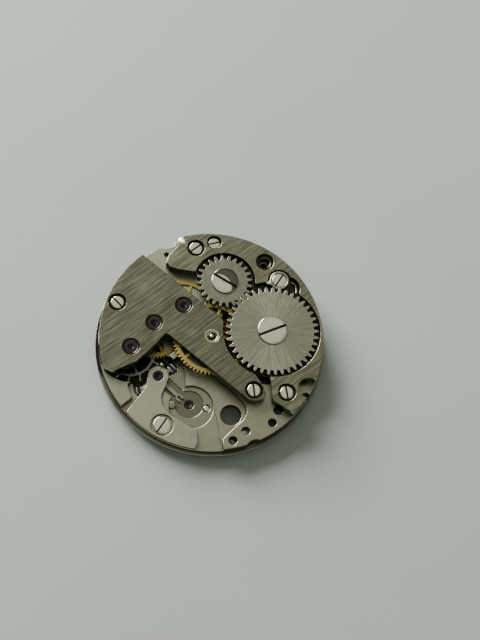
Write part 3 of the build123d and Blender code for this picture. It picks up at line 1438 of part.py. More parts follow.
def stem_gear(teeth, module, along, length):
    """A toothed disc turned about the stem's line."""
    with BuildPart() as gear:
        with BuildSketch(stem_plane(along)):
            with BuildLine():
                Polyline(*tooth_points(teeth, module, 0), close=True)
            make_face()
        extrude(amount=length)
    return gear.part


def stem_round(radius, start, end, mode=Mode.ADD):
    """Add or cut a round column along the stem's line."""
    with BuildSketch(stem_plane(start)) as outline:
        Circle(radius)
    extrude(outline.sketch, amount=end - start, mode=mode)


winding_start = sliding_outer + pinion_gap
with BuildPart() as winding_pinion:
    add(stem_gear(winding_teeth, stem_module, winding_start, winding_outer - winding_start))
    stem_round(stem_hole_radius, sliding_outer, winding_outer, Mode.SUBTRACT)
keep(winding_pinion.part, "winding_pinion")
with BuildPart() as sliding_pinion:
    add(stem_gear(contrate_teeth, contrate_module, sliding_inner, contrate_length))
    stem_round(sliding_radius, sliding_inner, sliding_outer)
    stem_round(sliding_radius, groove_start, groove_start + groove_width, Mode.SUBTRACT)
    stem_round(groove_radius, groove_start, groove_start + groove_width)
    with BuildSketch(stem_plane(sliding_inner)) as square_hole:
        Rectangle(stem_square_side, stem_square_side)
    extrude(square_hole.sketch, amount=sliding_outer - sliding_inner, mode=Mode.SUBTRACT)
keep(sliding_pinion.part, "sliding_pinion")

# Setting lever, yoke, its spring and the cover plate
setting_hub_radius = 0.62
yoke_hub_radius = 0.45
yoke_nose_high_rise = 1.20
yoke_nose_high = dial_seat + yoke_nose_high_rise
yoke_nose = ((7.66, 0.56), (7.86, 0.56), (7.86, 0.96), (7.66, 0.96))
yoke_arm = ((7.18, 2.30), (7.62, 0.62), (7.90, 0.62), (7.94, 1.00), (8.42, 1.12), (8.02, 1.75), (8.02, 2.30))
lever_arm_to_stem = ((10.05, 2.30), (9.45, 1.70), (9.48, 0.20), (9.78, 0.20), (9.90, 1.10), (10.50, 1.70))
lever_arm_to_yoke = ((9.90, 1.40), (8.62, 1.36), (8.22, 1.62), (8.28, 1.95), (9.95, 2.45))
spring_ring_radius = 0.52
spring_path = ((6.00, 2.50), (6.45, 2.30), (6.80, 2.10), (7.06, 1.93))
spring_blade = 0.10
cover_low_face_rise = 0.20
cover_low_face = dial_seat + cover_low_face_rise
cover_high_face_rise = 0.32
cover_high_face = dial_seat + cover_high_face_rise
cover_corners = (
    (5.15, 2.20), (6.90, 2.05), (7.30, 1.30), (9.20, 1.20), (10.30, 1.45), (10.35, 2.35), (9.85, 2.93),
    (5.15, 2.93),
)
cover_rounding = 0.12
cover_screw_radius = 0.34
cover_screw_low_rise = 0.06
cover_screw_low = dial_seat + cover_screw_low_rise
cover_screw_length = 0.70
cover_slot_depth = 0.06


def by_stem_all(corners):
    return [by_stem(*corner) for corner in corners]


with BuildPart() as setting_lever:
    round_body([setting_screw_place], setting_hub_radius, keyless_low, keyless_high)
    straight_body(by_stem_all(lever_arm_to_stem), keyless_low, keyless_high)
    straight_body(by_stem_all(lever_arm_to_yoke), keyless_low, keyless_high)
    lever_hole_radius = setting_screw_thread_radius + seat_gap
    round_body([setting_screw_place], lever_hole_radius, keyless_low, keyless_high, Mode.SUBTRACT)
keep(setting_lever.part, "setting_lever")
with BuildPart() as yoke:
    round_body([yoke_place], yoke_hub_radius, keyless_low, keyless_high)
    straight_body(by_stem_all(yoke_arm), keyless_low, keyless_high)
    straight_body(by_stem_all(yoke_nose), keyless_low, yoke_nose_high)
    round_body([yoke_place], yoke_post_radius + pivot_gap, keyless_low, keyless_high, Mode.SUBTRACT)
keep(yoke.part, "yoke")
with BuildPart() as yoke_spring:
    round_body(cover_screw_places[:1], spring_ring_radius, keyless_low, keyless_high)
    with BuildSketch(Plane.XY.offset(keyless_low)) as blade:
        with BuildLine():
            Spline(*by_stem_all(spring_path))
        trace(line_width=spring_blade)
    extrude(blade.sketch, amount=keyless_high - keyless_low)
    round_body(cover_screw_places[:1], cover_post_radius + seat_gap, keyless_low, keyless_high, Mode.SUBTRACT)
keep(yoke_spring.part, "yoke_spring")
with BuildPart() as setting_cover:
    straight_body(by_stem_all(cover_corners), cover_low_face, cover_high_face, rounding=cover_rounding)
    round_body(cover_screw_places, cover_hole_radius, cover_low_face, cover_high_face, Mode.SUBTRACT)
keep(setting_cover.part, "setting_cover")
with BuildPart() as setting_cover_screws:
    round_body(cover_screw_places, cover_screw_radius, cover_screw_low, cover_low_face)
    round_body(cover_screw_places, cover_thread_radius, cover_low_face, cover_low_face + cover_screw_length)
    with BuildSketch(Plane.XY.offset(cover_screw_low)) as cover_slots:
        with Locations(*cover_screw_places):
            Rectangle(2 * cover_screw_radius + overrun, screw_slot_width)
    extrude(cover_slots.sketch, amount=cover_slot_depth, mode=Mode.SUBTRACT)
keep(setting_cover_screws.part, "setting_cover_screws")
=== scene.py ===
"""Builds the looks of a hand-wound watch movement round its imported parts. Lengths are in metres."""

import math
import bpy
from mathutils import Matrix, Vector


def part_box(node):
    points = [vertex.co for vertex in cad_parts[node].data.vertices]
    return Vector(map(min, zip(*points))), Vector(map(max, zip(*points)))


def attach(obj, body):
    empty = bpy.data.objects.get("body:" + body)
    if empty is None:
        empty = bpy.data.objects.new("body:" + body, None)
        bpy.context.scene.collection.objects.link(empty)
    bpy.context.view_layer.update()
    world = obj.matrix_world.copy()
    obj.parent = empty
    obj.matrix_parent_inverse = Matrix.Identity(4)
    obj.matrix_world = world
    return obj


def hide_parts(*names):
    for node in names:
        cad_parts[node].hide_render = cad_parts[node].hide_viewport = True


bl_info = {
    "name": "Watch movement",
    "version": (1, 0, 0),
    "blender": (4, 5, 0),
    "location": "View3D > Sidebar > Movement",
    "description": "Metal finishes, jewels, screws and a studio stage for a hand-wound watch movement",
    "category": "Add Mesh",
}

import bpy
from mathutils import Matrix, Vector

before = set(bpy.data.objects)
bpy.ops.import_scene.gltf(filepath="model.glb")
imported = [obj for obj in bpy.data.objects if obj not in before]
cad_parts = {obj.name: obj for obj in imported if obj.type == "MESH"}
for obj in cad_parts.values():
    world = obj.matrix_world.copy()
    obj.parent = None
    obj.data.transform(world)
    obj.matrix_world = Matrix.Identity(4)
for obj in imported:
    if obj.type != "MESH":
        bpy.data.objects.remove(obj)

MM = 0.001
MERGE = 2e-7
RIM_MERGE = 5e-6

# The photograph's frame, in pixels across, and how far the camera's picture is shifted in it
FRAME_HEIGHT = 640
FRAME_SHIFT = (30.12, 25.42)

# Places on the movement, in millimetres
TRAIN_FOOT = ((4.07, -5.61), 1.35)
# Where the plate's floors get painted shade, as centres and radii
PAINTED_SHADE_POCKETS = (((-7.5, 0), 5.2), ((-3.5, 1.5), 3.5))
PAINTED_SHADE_BOWLS = (((9.05, -4.0), 1.0),)
CLICK_WIRE_BENDS = ((8.66, 4.78), (8.69, 5.20), (8.58, 5.67), (8.35, 5.90), (8.20, 5.94))
CLICK_WIRE_HEIGHT = 3.76
CLICK_WIRE_RADIUS = 0.09

# How far from a screw's clear side a painted dark reflection begins; more than its size for a screw that has none
ALL_CLEAR = 9.0
CROWN_SCREW_CLEAR = 1.35


# Sizes and colours that a user would change


class MovementLook(bpy.types.PropertyGroup):
    """Colours and sizes of the movement's finishes."""

    plate_colour: bpy.props.FloatVectorProperty(
        name="Plate", description="Frosted nickel of the main plate", subtype="COLOR", default=(0.38, 0.385, 0.27)
    )
    bridge_colour: bpy.props.FloatVectorProperty(
        name="Bridges", description="Grained nickel of the two bridges", subtype="COLOR", default=(0.215, 0.22, 0.15)
    )
    cock_colour: bpy.props.FloatVectorProperty(
        name="Pallet cock", description="Frosted nickel of the cock", subtype="COLOR", default=(0.44, 0.445, 0.31)
    )
    screw_colour: bpy.props.FloatVectorProperty(
        name="Screws", description="Polished steel of the screw heads", subtype="COLOR", default=(0.86, 0.86, 0.66)
    )
    winding_colour: bpy.props.FloatVectorProperty(
        name="Winding wheels", description="Brushed steel of the winding wheels", subtype="COLOR",
        default=(0.35, 0.355, 0.265),
    )
    tool_colour: bpy.props.FloatVectorProperty(
        name="Arbors", description="Turned steel of arbors and levers", subtype="COLOR", default=(0.30, 0.30, 0.26)
    )
    brass_colour: bpy.props.FloatVectorProperty(
        name="Wheels", description="Gilt brass of the train wheels", subtype="COLOR", default=(0.43, 0.33, 0.105)
    )
    ruby_colour: bpy.props.FloatVectorProperty(
        name="Jewels", description="Ruby of the jewels", subtype="COLOR", default=(0.014, 0.004, 0.008)
    )
    grain_angle: bpy.props.FloatProperty(
        name="Grain", description="Direction of the bridges' straight grain", subtype="ANGLE",
        default=math.radians(38),
    )
    edge_width: bpy.props.FloatProperty(
        name="Edge", description="Width of the broken edges on bridges and wheels", subtype="DISTANCE",
        default=0.05 * MM,
    )


class StageLook(bpy.types.PropertyGroup):
    """Floor and camera."""

    floor_colour: bpy.props.FloatVectorProperty(
        name="Floor", description="Colour of the pale floor", subtype="COLOR", default=(0.50, 0.54, 0.50)
    )
    camera_distance: bpy.props.FloatProperty(
        name="Distance", description="From the camera to the dial seat's middle", subtype="DISTANCE",
        default=110 * MM,
    )
    camera_tilt: bpy.props.FloatProperty(
        name="Tilt", description="Camera's angle from straight above", subtype="ANGLE", default=math.radians(20.1)
    )
    camera_turn: bpy.props.FloatProperty(
        name="Turn", description="Camera's turn about the movement", subtype="ANGLE", default=math.radians(-11.71)
    )
    camera_lens: bpy.props.FloatProperty(
        name="Lens", description="Focal length in millimetres", default=60.65
    )


# Shader maths


class Value:
    """A socket in a finish's node tree that Python sums can be written on."""

    def __init__(self, finish, socket):
        self.finish = finish
        self.socket = socket

    def maths(self, operation, *others):
        made = self.finish.node(
            "ShaderNodeMath", {"operation": operation}, dict(enumerate((self, *others)))
        )
        return made

    def __add__(self, other):
        return self.maths("ADD", other)

    def __radd__(self, other):
        return self.maths("ADD", other)

    def __sub__(self, other):
        return self.maths("SUBTRACT", other)

    def __rsub__(self, other):
        return self.maths("MULTIPLY", -1) + other

    def __mul__(self, other):
        return self.maths("MULTIPLY", other)

    def __rmul__(self, other):
        return self.maths("MULTIPLY", other)

    def __truediv__(self, other):
        return self.maths("DIVIDE", other)

    def __abs__(self):
        return self.maths("ABSOLUTE")

    def step(self, low, high):
        """0 below low, 1 above high, and smooth between them."""
        return self.finish.node(
            "ShaderNodeMapRange",
            {"interpolation_type": "SMOOTHSTEP"},
            {"Value": self, "From Min": low, "From Max": high},
        )


class Finish:
    """One material, with a method that adds a node and hands back its first output."""

    def __init__(self, name):
        self.material = bpy.data.materials.new(name)
        self.material.use_nodes = True
        self.tree = self.material.node_tree
        self.tree.nodes.clear()
        self.surface = self.node("ShaderNodeBsdfPrincipled", output=None)
        end = self.node("ShaderNodeOutputMaterial", output=None)
        self.tree.links.new(self.surface.outputs["BSDF"], end.inputs["Surface"])

    def node(self, kind, settings=None, inputs=None, output=0):
        """Adds a node: its settings first, then its sockets' values or links."""
        made = self.tree.nodes.new(kind)
        for key, setting in (settings or {}).items():
            if key == "stops":
                self.set_stops(made.color_ramp, setting)
            else:
                setattr(made, key, setting)
        for key, given in (inputs or {}).items():
            self.plug(self.socket_of(made, key), given)
        if output is None:
            return made
        return Value(self, self.output_of(made, output))

    def socket_of(self, made, key):
        if isinstance(key, int):
            return made.inputs[key]
        return next(s for s in made.inputs if s.name == key and s.enabled)

    def output_of(self, made, key):
        if isinstance(key, int):
            return [s for s in made.outputs if s.enabled][key]
        return made.outputs[key]

    def set_stops(self, ramp, stops):
        for index, (place, colour) in enumerate(stops):
            stop = ramp.elements[index] if index < 2 else ramp.elements.new(place)
            stop.position = place
            stop.color = colour

    def plug(self, socket, given):
        if isinstance(given, Value):
            self.tree.links.new(given.socket, socket)
        else:
            socket.default_value = given

    def set(self, **inputs):
        """Sets sockets of the surface shader, named with underscores for spaces."""
        for key, given in inputs.items():
            name = " ".join(word.capitalize() if word != "IOR" else word for word in key.split("_"))
            self.plug(self.surface.inputs[name], given)

    def place(self, centre=(0, 0), turn=0.0, size=(1, 1, 1)):
        """Object coordinates in millimetres about a centre, turned, and divided by a size along each axis."""
        point = self.node("ShaderNodeTexCoord", output="Object")
        return self.node(
            "ShaderNodeMapping",
            {"vector_type": "TEXTURE"},
            {
                "Vector": point,
                "Location": (centre[0] * MM, centre[1] * MM, 0),
                "Rotation": (0, 0, turn),
                "Scale": tuple(side * MM for side in size),
            },
        )

    def noise(self, place, scale=1.0, detail=3.0, roughness=0.5):
        return self.node(
            "ShaderNodeTexNoise",
            inputs={"Vector": place, "Scale": scale, "Detail": detail, "Roughness": roughness},
        )

    def up(self):
        """How far a face looks up or down the movement's axis, from 0 to 1."""
        normal = self.node("ShaderNodeTexCoord", output="Normal")
        return abs(self.node("ShaderNodeSeparateXYZ", inputs={"Vector": normal}, output="Z"))

    def height(self):
        """Height above the table, in millimetres."""
        point = self.node("ShaderNodeTexCoord", output="Object")
        return self.node("ShaderNodeSeparateXYZ", inputs={"Vector": point}, output="Z") / MM

    def reach(self, centre):
        """Distance in plan from a place, in millimetres."""
        flat = self.node("ShaderNodeVectorMath", {"operation": "MULTIPLY"}, {0: self.place(centre), 1: (1, 1, 0)})
        return self.node("ShaderNodeVectorMath", {"operation": "LENGTH"}, {0: flat}, output="Value")

    def edges(self):
        """1 on broken edges, 0 on flats and upright walls."""
        up = self.up()
        return up.step(0.12, 0.3) * (1 - up.step(0.9, 0.985))

    def painted_edges_and_shade(self, tone, colour, bright=2.0, wall=0.26, reach=0.35):
        """A tone with painted highlights on broken edges, painted shade on upright walls and painted shade in inner
        corners.
        """
        up = self.up()
        # Upright walls are painted darker: painted shade.
        tone = self.blend(1 - up.step(0.1, 0.6), tone, shade(colour, wall))
        # Broken edges are painted brighter: a painted highlight.
        tone = self.blend(self.edges() * 0.8, tone, shade(colour, bright))
        # Corners that ambient occlusion finds are painted dark: painted shade.
        painted_corner_shade = self.node(
            "ShaderNodeAmbientOcclusion",
            {"samples": 8, "only_local": True},
            {"Distance": reach * MM},
            output="AO",
        )
        return self.blend(1 - painted_corner_shade.step(0.25, 0.8), tone, shade(colour, 0.10))

    def blend(self, amount, first, second):
        return self.node(
            "ShaderNodeMix",
            {"data_type": "RGBA"},
            {"Factor": amount, "A": full(first), "B": full(second)},
        )

    def bump(self, height, distance, strength):
        return self.node("ShaderNodeBump", inputs={"Height": height, "Distance": distance, "Strength": strength})


def full(colour):
    """A colour with its alpha, or a linked colour as it is."""
    if isinstance(colour, Value):
        return colour
    return (*colour[:3], 1.0)


def shade(colour, amount):
    return tuple(part * amount for part in colour[:3])


def grained_nickel(name, colour, angle):
    """Straight-grained plating with faint tarnish, painted shade on recess floors, walls and corners, and painted
    highlights on broken edges.
    """
    finish = Finish(name)
    fine = finish.noise(finish.place(turn=angle, size=(2.6, 0.045, 1)), detail=2)
    broad = finish.noise(finish.place(turn=angle, size=(4.0, 0.22, 1)), detail=3, roughness=0.6)
    cloud = finish.noise(finish.place(size=(1.3, 1.3, 1.3)), detail=4, roughness=0.65)
    speck = finish.noise(finish.place(turn=angle, size=(0.16, 0.07, 0.1)), detail=2, roughness=0.6)
    edge = finish.edges()
    grain = (fine + broad) / 2
    tarnish = speck.step(0.56, 0.70) * cloud.step(0.42, 0.62)
    tone = finish.blend(grain.step(0.40, 0.60), shade(colour, 0.55), shade(colour, 1.45))
    tone = finish.blend(cloud.step(0.35, 0.7) * 0.4, tone, shade(colour, 0.72))
    tone = finish.blend(tarnish * 0.8, tone, shade(colour, 0.25))
    # Floors below the bridge's top are painted dark: painted shade in the recesses.
    tone = finish.blend(1 - finish.height().step(3.90, 3.97), tone, shade(colour, 0.13))
    finish.set(
        base_color=finish.painted_edges_and_shade(tone, colour),
        metallic=1.0,
        roughness=0.20 + 0.10 * grain + 0.08 * cloud - 0.04 * edge,
        normal=finish.bump(grain, 0.006 * MM, 0.7),
    )
    return finish.material


def frosted_nickel(name, colour, pockets=(), bowls=()):
    """Fine matte plating; with pockets given, low floors get painted shade and turn black in the pockets, and the
    bowls are painted dark all over: centres and radii. Edges, walls and corners get painted light and shade.
    """
    finish = Finish(name)
    frost = finish.noise(finish.place(size=(0.06, 0.06, 0.06)), detail=3, roughness=0.7)
    cloud = finish.noise(finish.place(size=(1.1, 1.1, 1.1)), detail=5, roughness=0.65)
    speck = finish.noise(finish.place(size=(0.14, 0.14, 0.14)), detail=3, roughness=0.65)
    edge = finish.edges()
    tarnish = speck.step(0.60, 0.72) * cloud.step(0.40, 0.60)
    tone = finish.blend(frost.step(0.3, 0.7), shade(colour, 0.82), shade(colour, 1.12))
    tone = finish.blend(cloud.step(0.4, 0.7) * 0.45, tone, shade(colour, 0.72))
    tone = finish.blend(tarnish * 0.8, tone, shade(colour, 0.25))
    # With pockets given, floors below the land get painted shade, darker everywhere and black inside each pocket.
    low = 1 - finish.height().step(1.58, 1.86)
    if pockets:
        tone = finish.blend(low * 0.85, tone, shade(colour, 0.35))
    for centre, radius in pockets:
        under = 1 - finish.reach(centre).step(radius - 0.6, radius)
        tone = finish.blend(low * under, tone, shade(colour, 0.05))
    # Bowls are painted dark all over: painted shade.
    for centre, radius in bowls:
        tone = finish.blend((1 - finish.reach(centre).step(radius * 0.5, radius)) * 0.85, tone, shade(colour, 0.10))
    finish.set(
        base_color=finish.painted_edges_and_shade(tone, colour, 2.0),
        metallic=1.0,
        roughness=0.26 + 0.12 * frost + 0.08 * cloud - 0.08 * edge,
        normal=finish.bump(frost, 0.008 * MM, 0.6),
    )
    return finish.material


def sunburst_steel(name, colour, centre):
    """Steel brushed in rays from a wheel's centre; its left and right sides are painted darker, a painted sheen, and
    its edges, walls and corners get painted light and shade.
    """
    finish = Finish(name)
    spot = finish.place(centre=centre)
    flat = finish.node("ShaderNodeVectorMath", {"operation": "MULTIPLY"}, {0: spot, 1: (1, 1, 0)})
    ray = finish.node("ShaderNodeVectorMath", {"operation": "NORMALIZE"}, {0: flat})
    out = finish.reach(centre)
    drift = finish.node("ShaderNodeVectorMath", {"operation": "SCALE"}, {0: ray, "Scale": 1 + 0.012 * out})
    fine = finish.noise(drift, scale=110, detail=4, roughness=0.75)
    broad = finish.noise(drift, scale=30, detail=3, roughness=0.6)
    across = finish.node("ShaderNodeSeparateXYZ", inputs={"Vector": ray}, output="X")
    cloud = finish.noise(finish.place(size=(0.9, 0.9, 0.9)), detail=4, roughness=0.6)
    speck = finish.noise(finish.place(size=(0.13, 0.13, 0.13)), detail=3, roughness=0.65)
    edge = finish.edges()
    rays = 0.55 * fine + 0.45 * broad
    tone = finish.blend(rays.step(0.41, 0.59), shade(colour, 0.68), shade(colour, 1.50))
    # The wheel's left and right sides are painted darker: the sunburst's sheen is painted, not lit.
    tone = finish.blend(abs(across).step(0.1, 0.9) * 0.6, tone, shade(colour, 0.66))
    tone = finish.blend(speck.step(0.60, 0.72) * cloud.step(0.4, 0.6) * 0.7, tone, shade(colour, 0.35))
    finish.set(
        base_color=finish.painted_edges_and_shade(tone, colour, 1.9, 0.12),
        metallic=1.0,
        roughness=0.22 + 0.10 * fine + 0.08 * cloud - 0.05 * edge,
        normal=finish.bump(rays, 0.012 * MM, 0.6),
    )
    return finish.material


def satin_steel(name, colour, roughness=0.36, ring=None):
    """Plain steel with painted highlights on broken edges and painted shade on walls and in corners; a ring, given by
    its centre and two radii, gets painted shade on its up-facing faces, like the gap round a screw head.
    """
    finish = Finish(name)
    frost = finish.noise(finish.place(size=(0.08, 0.08, 0.08)), detail=3, roughness=0.65)
    cloud = finish.noise(finish.place(size=(0.8, 0.8, 0.8)), detail=4, roughness=0.6)
    edge = finish.edges()
    tone = finish.blend(cloud.step(0.35, 0.7), shade(colour, 1.1), shade(colour, 0.78))
    tone = finish.blend(frost.step(0.58, 0.75) * 0.5, tone, shade(colour, 0.5))
    if ring:
        centre, inner, outer = ring
        out = finish.reach(centre)
        band = out.step(inner, inner + 0.02) * (1 - out.step(outer - 0.02, outer))
        # Up-facing faces in the ring are painted nearly black: painted shade.
        tone = finish.blend(band * finish.up().step(0.9, 0.98), tone, shade(colour, 0.05))
    finish.set(
        base_color=finish.painted_edges_and_shade(tone, colour, 1.9),
        metallic=1.0,
        roughness=roughness + 0.10 * frost + 0.08 * cloud - 0.10 * edge,
        normal=finish.bump(frost, 0.004 * MM, 0.5),
    )
    return finish.material


def polished_steel(name, colour, centre, angle, width, clear=ALL_CLEAR):
    """A mirror-polished screw head whose slot is painted nearly black, the shade inside it. Past the clear distance,
    a dark reflection is painted over its +X +Y side.
    """
    finish = Finish(name)
    scratch = finish.noise(finish.place(turn=0.9, size=(1.5, 0.03, 1)), detail=1)
    cloud = finish.noise(finish.place(size=(0.5, 0.5, 0.5)), detail=4, roughness=0.6)
    tone = finish.blend(cloud.step(0.45, 0.75) * 0.5, colour, shade(colour, 0.8))
    tone = finish.blend(scratch.step(0.60, 0.68) * 0.3, tone, shade(colour, 0.7))
    # Past the clear distance from the clear side, a dark reflection is painted over the head.
    clear_side = (centre[0] - 0.75, centre[1] - 0.75)
    tone = finish.blend(finish.reach(clear_side).step(clear, clear + 0.12) * 0.9, tone, shade(colour, 0.06))
    tone = finish.painted_edges_and_shade(tone, colour, 1.1, 0.12, 0.12)
    spot = finish.place(centre, math.radians(angle))
    aside = abs(finish.node("ShaderNodeSeparateXYZ", inputs={"Vector": spot}, output="Y"))
    # The slot is painted nearly black: painted shade inside it.
    slot = 1 - aside.step(width / 2, width / 2 + 0.02)
    finish.set(
        base_color=finish.blend(slot, tone, shade(colour, 0.03)),
        metallic=1.0,
        roughness=0.12 + 0.08 * cloud + 0.06 * scratch.step(0.6, 0.7),
    )
    return finish.material


def gilt_brass(name, colour, centre=(0, 0)):
    """Gilt brass with a circular grain about the wheel's centre, painted highlights on broken edges and painted shade
    on walls and in corners.
    """
    finish = Finish(name)
    spot = finish.place(centre=centre)
    flat = finish.node("ShaderNodeVectorMath", {"operation": "MULTIPLY"}, {0: spot, 1: (1, 1, 0)})
    reach = finish.node("ShaderNodeVectorMath", {"operation": "LENGTH"}, {0: flat}, output="Value")
    rings = finish.node("ShaderNodeTexNoise", {"noise_dimensions": "1D"}, {"W": reach, "Scale": 16, "Detail": 3})
    cloud = finish.noise(finish.place(size=(0.7, 0.7, 0.7)), detail=4, roughness=0.6)
    edge = finish.edges()
    tone = finish.blend(rings.step(0.35, 0.65), shade(colour, 0.8), shade(colour, 1.15))
    tone = finish.blend(cloud.step(0.45, 0.75) * 0.6, tone, (0.36, 0.20, 0.06))
    finish.set(
        base_color=finish.painted_edges_and_shade(tone, colour, 1.4),
        metallic=1.0,
        roughness=0.28 + 0.12 * cloud + 0.08 * rings,
        normal=finish.bump(rings, 0.004 * MM, 0.6),
    )
    return finish.material


def ruby(name, colour):
    """Synthetic ruby under a film of old oil, its tone clouded."""
    finish = Finish(name)
    cloud = finish.noise(finish.place(size=(0.35, 0.35, 0.35)), detail=3)
    tone = finish.blend(cloud.step(0.35, 0.7), shade(colour, 1.25), shade(colour, 0.7))
    finish.set(base_color=tone, roughness=0.34 + 0.10 * cloud, IOR=1.38)
    return finish.material


# Modelling steps


def alone(piece):
    """Selects one piece and makes it active."""
    bpy.ops.object.select_all(action="DESELECT")
    piece.select_set(True)
    bpy.context.view_layer.objects.active = piece


def edit(piece):
    """Opens a piece in edit mode with nothing selected."""
    alone(piece)
    bpy.ops.object.mode_set(mode="EDIT")
    bpy.ops.mesh.select_all(action="DESELECT")


def settle(piece, angle=30):
    """Merges doubles, turns the faces outwards and smooths the shallow edges."""
    edit(piece)
    bpy.ops.mesh.select_all(action="SELECT")
    bpy.ops.mesh.remove_doubles(threshold=MERGE)
    bpy.ops.mesh.normals_make_consistent(inside=False)
    bpy.ops.object.mode_set(mode="OBJECT")
    bpy.ops.object.shade_smooth_by_angle(angle=math.radians(angle))


def use_modifier(piece, kind, **settings):
    """Adds a modifier, sets it and applies it."""
    alone(piece)
    modifier = piece.modifiers.new(kind.title(), kind)
    for key, setting in settings.items():
        setattr(modifier, key, setting)
    bpy.ops.object.modifier_apply(modifier=modifier.name)


def turned(name, place, profile, sides=72):
    """A turned piece: rings of a radius and a height in millimetres, joined in order and closed at the ends."""
    radius, height = profile[0]
    bpy.ops.object.select_all(action="DESELECT")
    spot = (place[0] * MM, place[1] * MM, height * MM)
    bpy.ops.mesh.primitive_circle_add(vertices=sides, radius=radius * MM, location=spot)
    piece = bpy.context.object
    piece.name = name
    bpy.ops.object.transform_apply(location=True, rotation=True, scale=True)
    bpy.ops.object.mode_set(mode="EDIT")
    bpy.ops.mesh.select_all(action="SELECT")
    for next_radius, next_height in profile[1:]:
        rise = (next_height - height) * MM
        bpy.ops.mesh.extrude_region_move(TRANSFORM_OT_translate={"value": (0, 0, rise)})
        grow = next_radius / radius
        spot = (place[0] * MM, place[1] * MM, next_height * MM)
        bpy.ops.transform.resize(value=(grow, grow, 1), center_override=spot)
        radius, height = next_radius, next_height
    bpy.ops.mesh.select_all(action="SELECT")
    bpy.ops.mesh.remove_doubles(threshold=MERGE)
    bpy.ops.mesh.fill_holes(sides=0)
    bpy.ops.object.mode_set(mode="OBJECT")
    settle(piece)
    return piece


def cut_slot(piece, place, top, length, width, depth, angle):
    """Saws a screwdriver slot across a head."""
    bpy.ops.object.select_all(action="DESELECT")
    bpy.ops.mesh.primitive_cube_add(size=1, location=(place[0] * MM, place[1] * MM, top * MM))
    saw = bpy.context.object
    saw.scale = (length * MM, width * MM, 2 * depth * MM)
    saw.rotation_euler = (0, 0, math.radians(angle))
    use_modifier(piece, "BOOLEAN", operation="DIFFERENCE", object=saw, solver="EXACT")
    bpy.data.objects.remove(saw)


def finished(piece, body, slot, material, *nodes):
    """Gives a piece its material, its body and the nodes that it stands for."""
    piece.data.materials.clear()
    piece.data.materials.append(material)
    for polygon in piece.data.polygons:
        polygon.material_index = 0
    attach(piece, body)
    if nodes:
        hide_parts(*nodes)
    return piece


def select_rims(mesh, thin=None):
    """Selects the outward edges where a face that looks up meets a wall, but none in a thin place."""
    beside = {}
    for face in mesh.polygons:
        for key in face.edge_keys:
            beside.setdefault(key, []).append(face)
    for edge in mesh.edges:
        faces = sorted(beside.get(tuple(sorted(edge.vertices)), []), key=lambda face: -face.normal.z)
        if len(faces) == 2 and faces[0].normal.z > 0.98 and abs(faces[1].normal.z) < 0.4:
            spot = (mesh.vertices[edge.vertices[0]].co + mesh.vertices[edge.vertices[1]].co) / 2
            near = thin and (spot.xy / MM - Vector(thin[0])).length < thin[1]
            edge.select = not near and (faces[1].center - spot).dot(faces[0].normal) < 0


def bevelled(node, name, width, thin=None):
    """A copy of a node with its doubles merged, its flats joined and its upper rims broken."""
    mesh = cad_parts[node].data.copy()
    mesh.name = name
    piece = bpy.data.objects.new(name, mesh)
    bpy.context.scene.collection.objects.link(piece)
    edit(piece)
    bpy.ops.mesh.select_all(action="SELECT")
    bpy.ops.mesh.remove_doubles(threshold=RIM_MERGE)
    bpy.ops.mesh.dissolve_degenerate(threshold=RIM_MERGE)
    bpy.ops.mesh.customdata_custom_splitnormals_clear()
    bpy.ops.mesh.dissolve_limited(angle_limit=math.radians(0.5))
    bpy.ops.mesh.select_mode(type="EDGE")
    bpy.ops.mesh.select_all(action="DESELECT")
    bpy.ops.object.mode_set(mode="OBJECT")
    select_rims(mesh, thin)
    bpy.ops.object.mode_set(mode="EDIT")
    bpy.ops.mesh.bevel(offset=width, segments=2, profile=0.5, affect="EDGES", clamp_overlap=False)
    bpy.ops.mesh.select_all(action="SELECT")
    bpy.ops.mesh.mark_sharp(clear=True)
    bpy.ops.object.mode_set(mode="OBJECT")
    bpy.ops.object.shade_smooth_by_angle(angle=math.radians(50))
    use_modifier(piece, "WEIGHTED_NORMAL", mode="FACE_AREA", weight=100, keep_sharp=True)
    return piece


def middle(node):
    """Centre of a node in plan, its radius, and its lowest and highest point, in millimetres."""
    low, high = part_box(node)
    centre = ((low.x + high.x) / 2 / MM, (low.y + high.y) / 2 / MM)
    return centre, (high.x - low.x) / 2 / MM, low.z / MM, high.z / MM


def dress(material, *nodes):
    """Assigns a material to the slots of CAD nodes that stay."""
    for node in nodes:
        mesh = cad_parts[node].data
        mesh.materials.clear()
        mesh.materials.append(material)


# Operators, one for each piece or group of like pieces


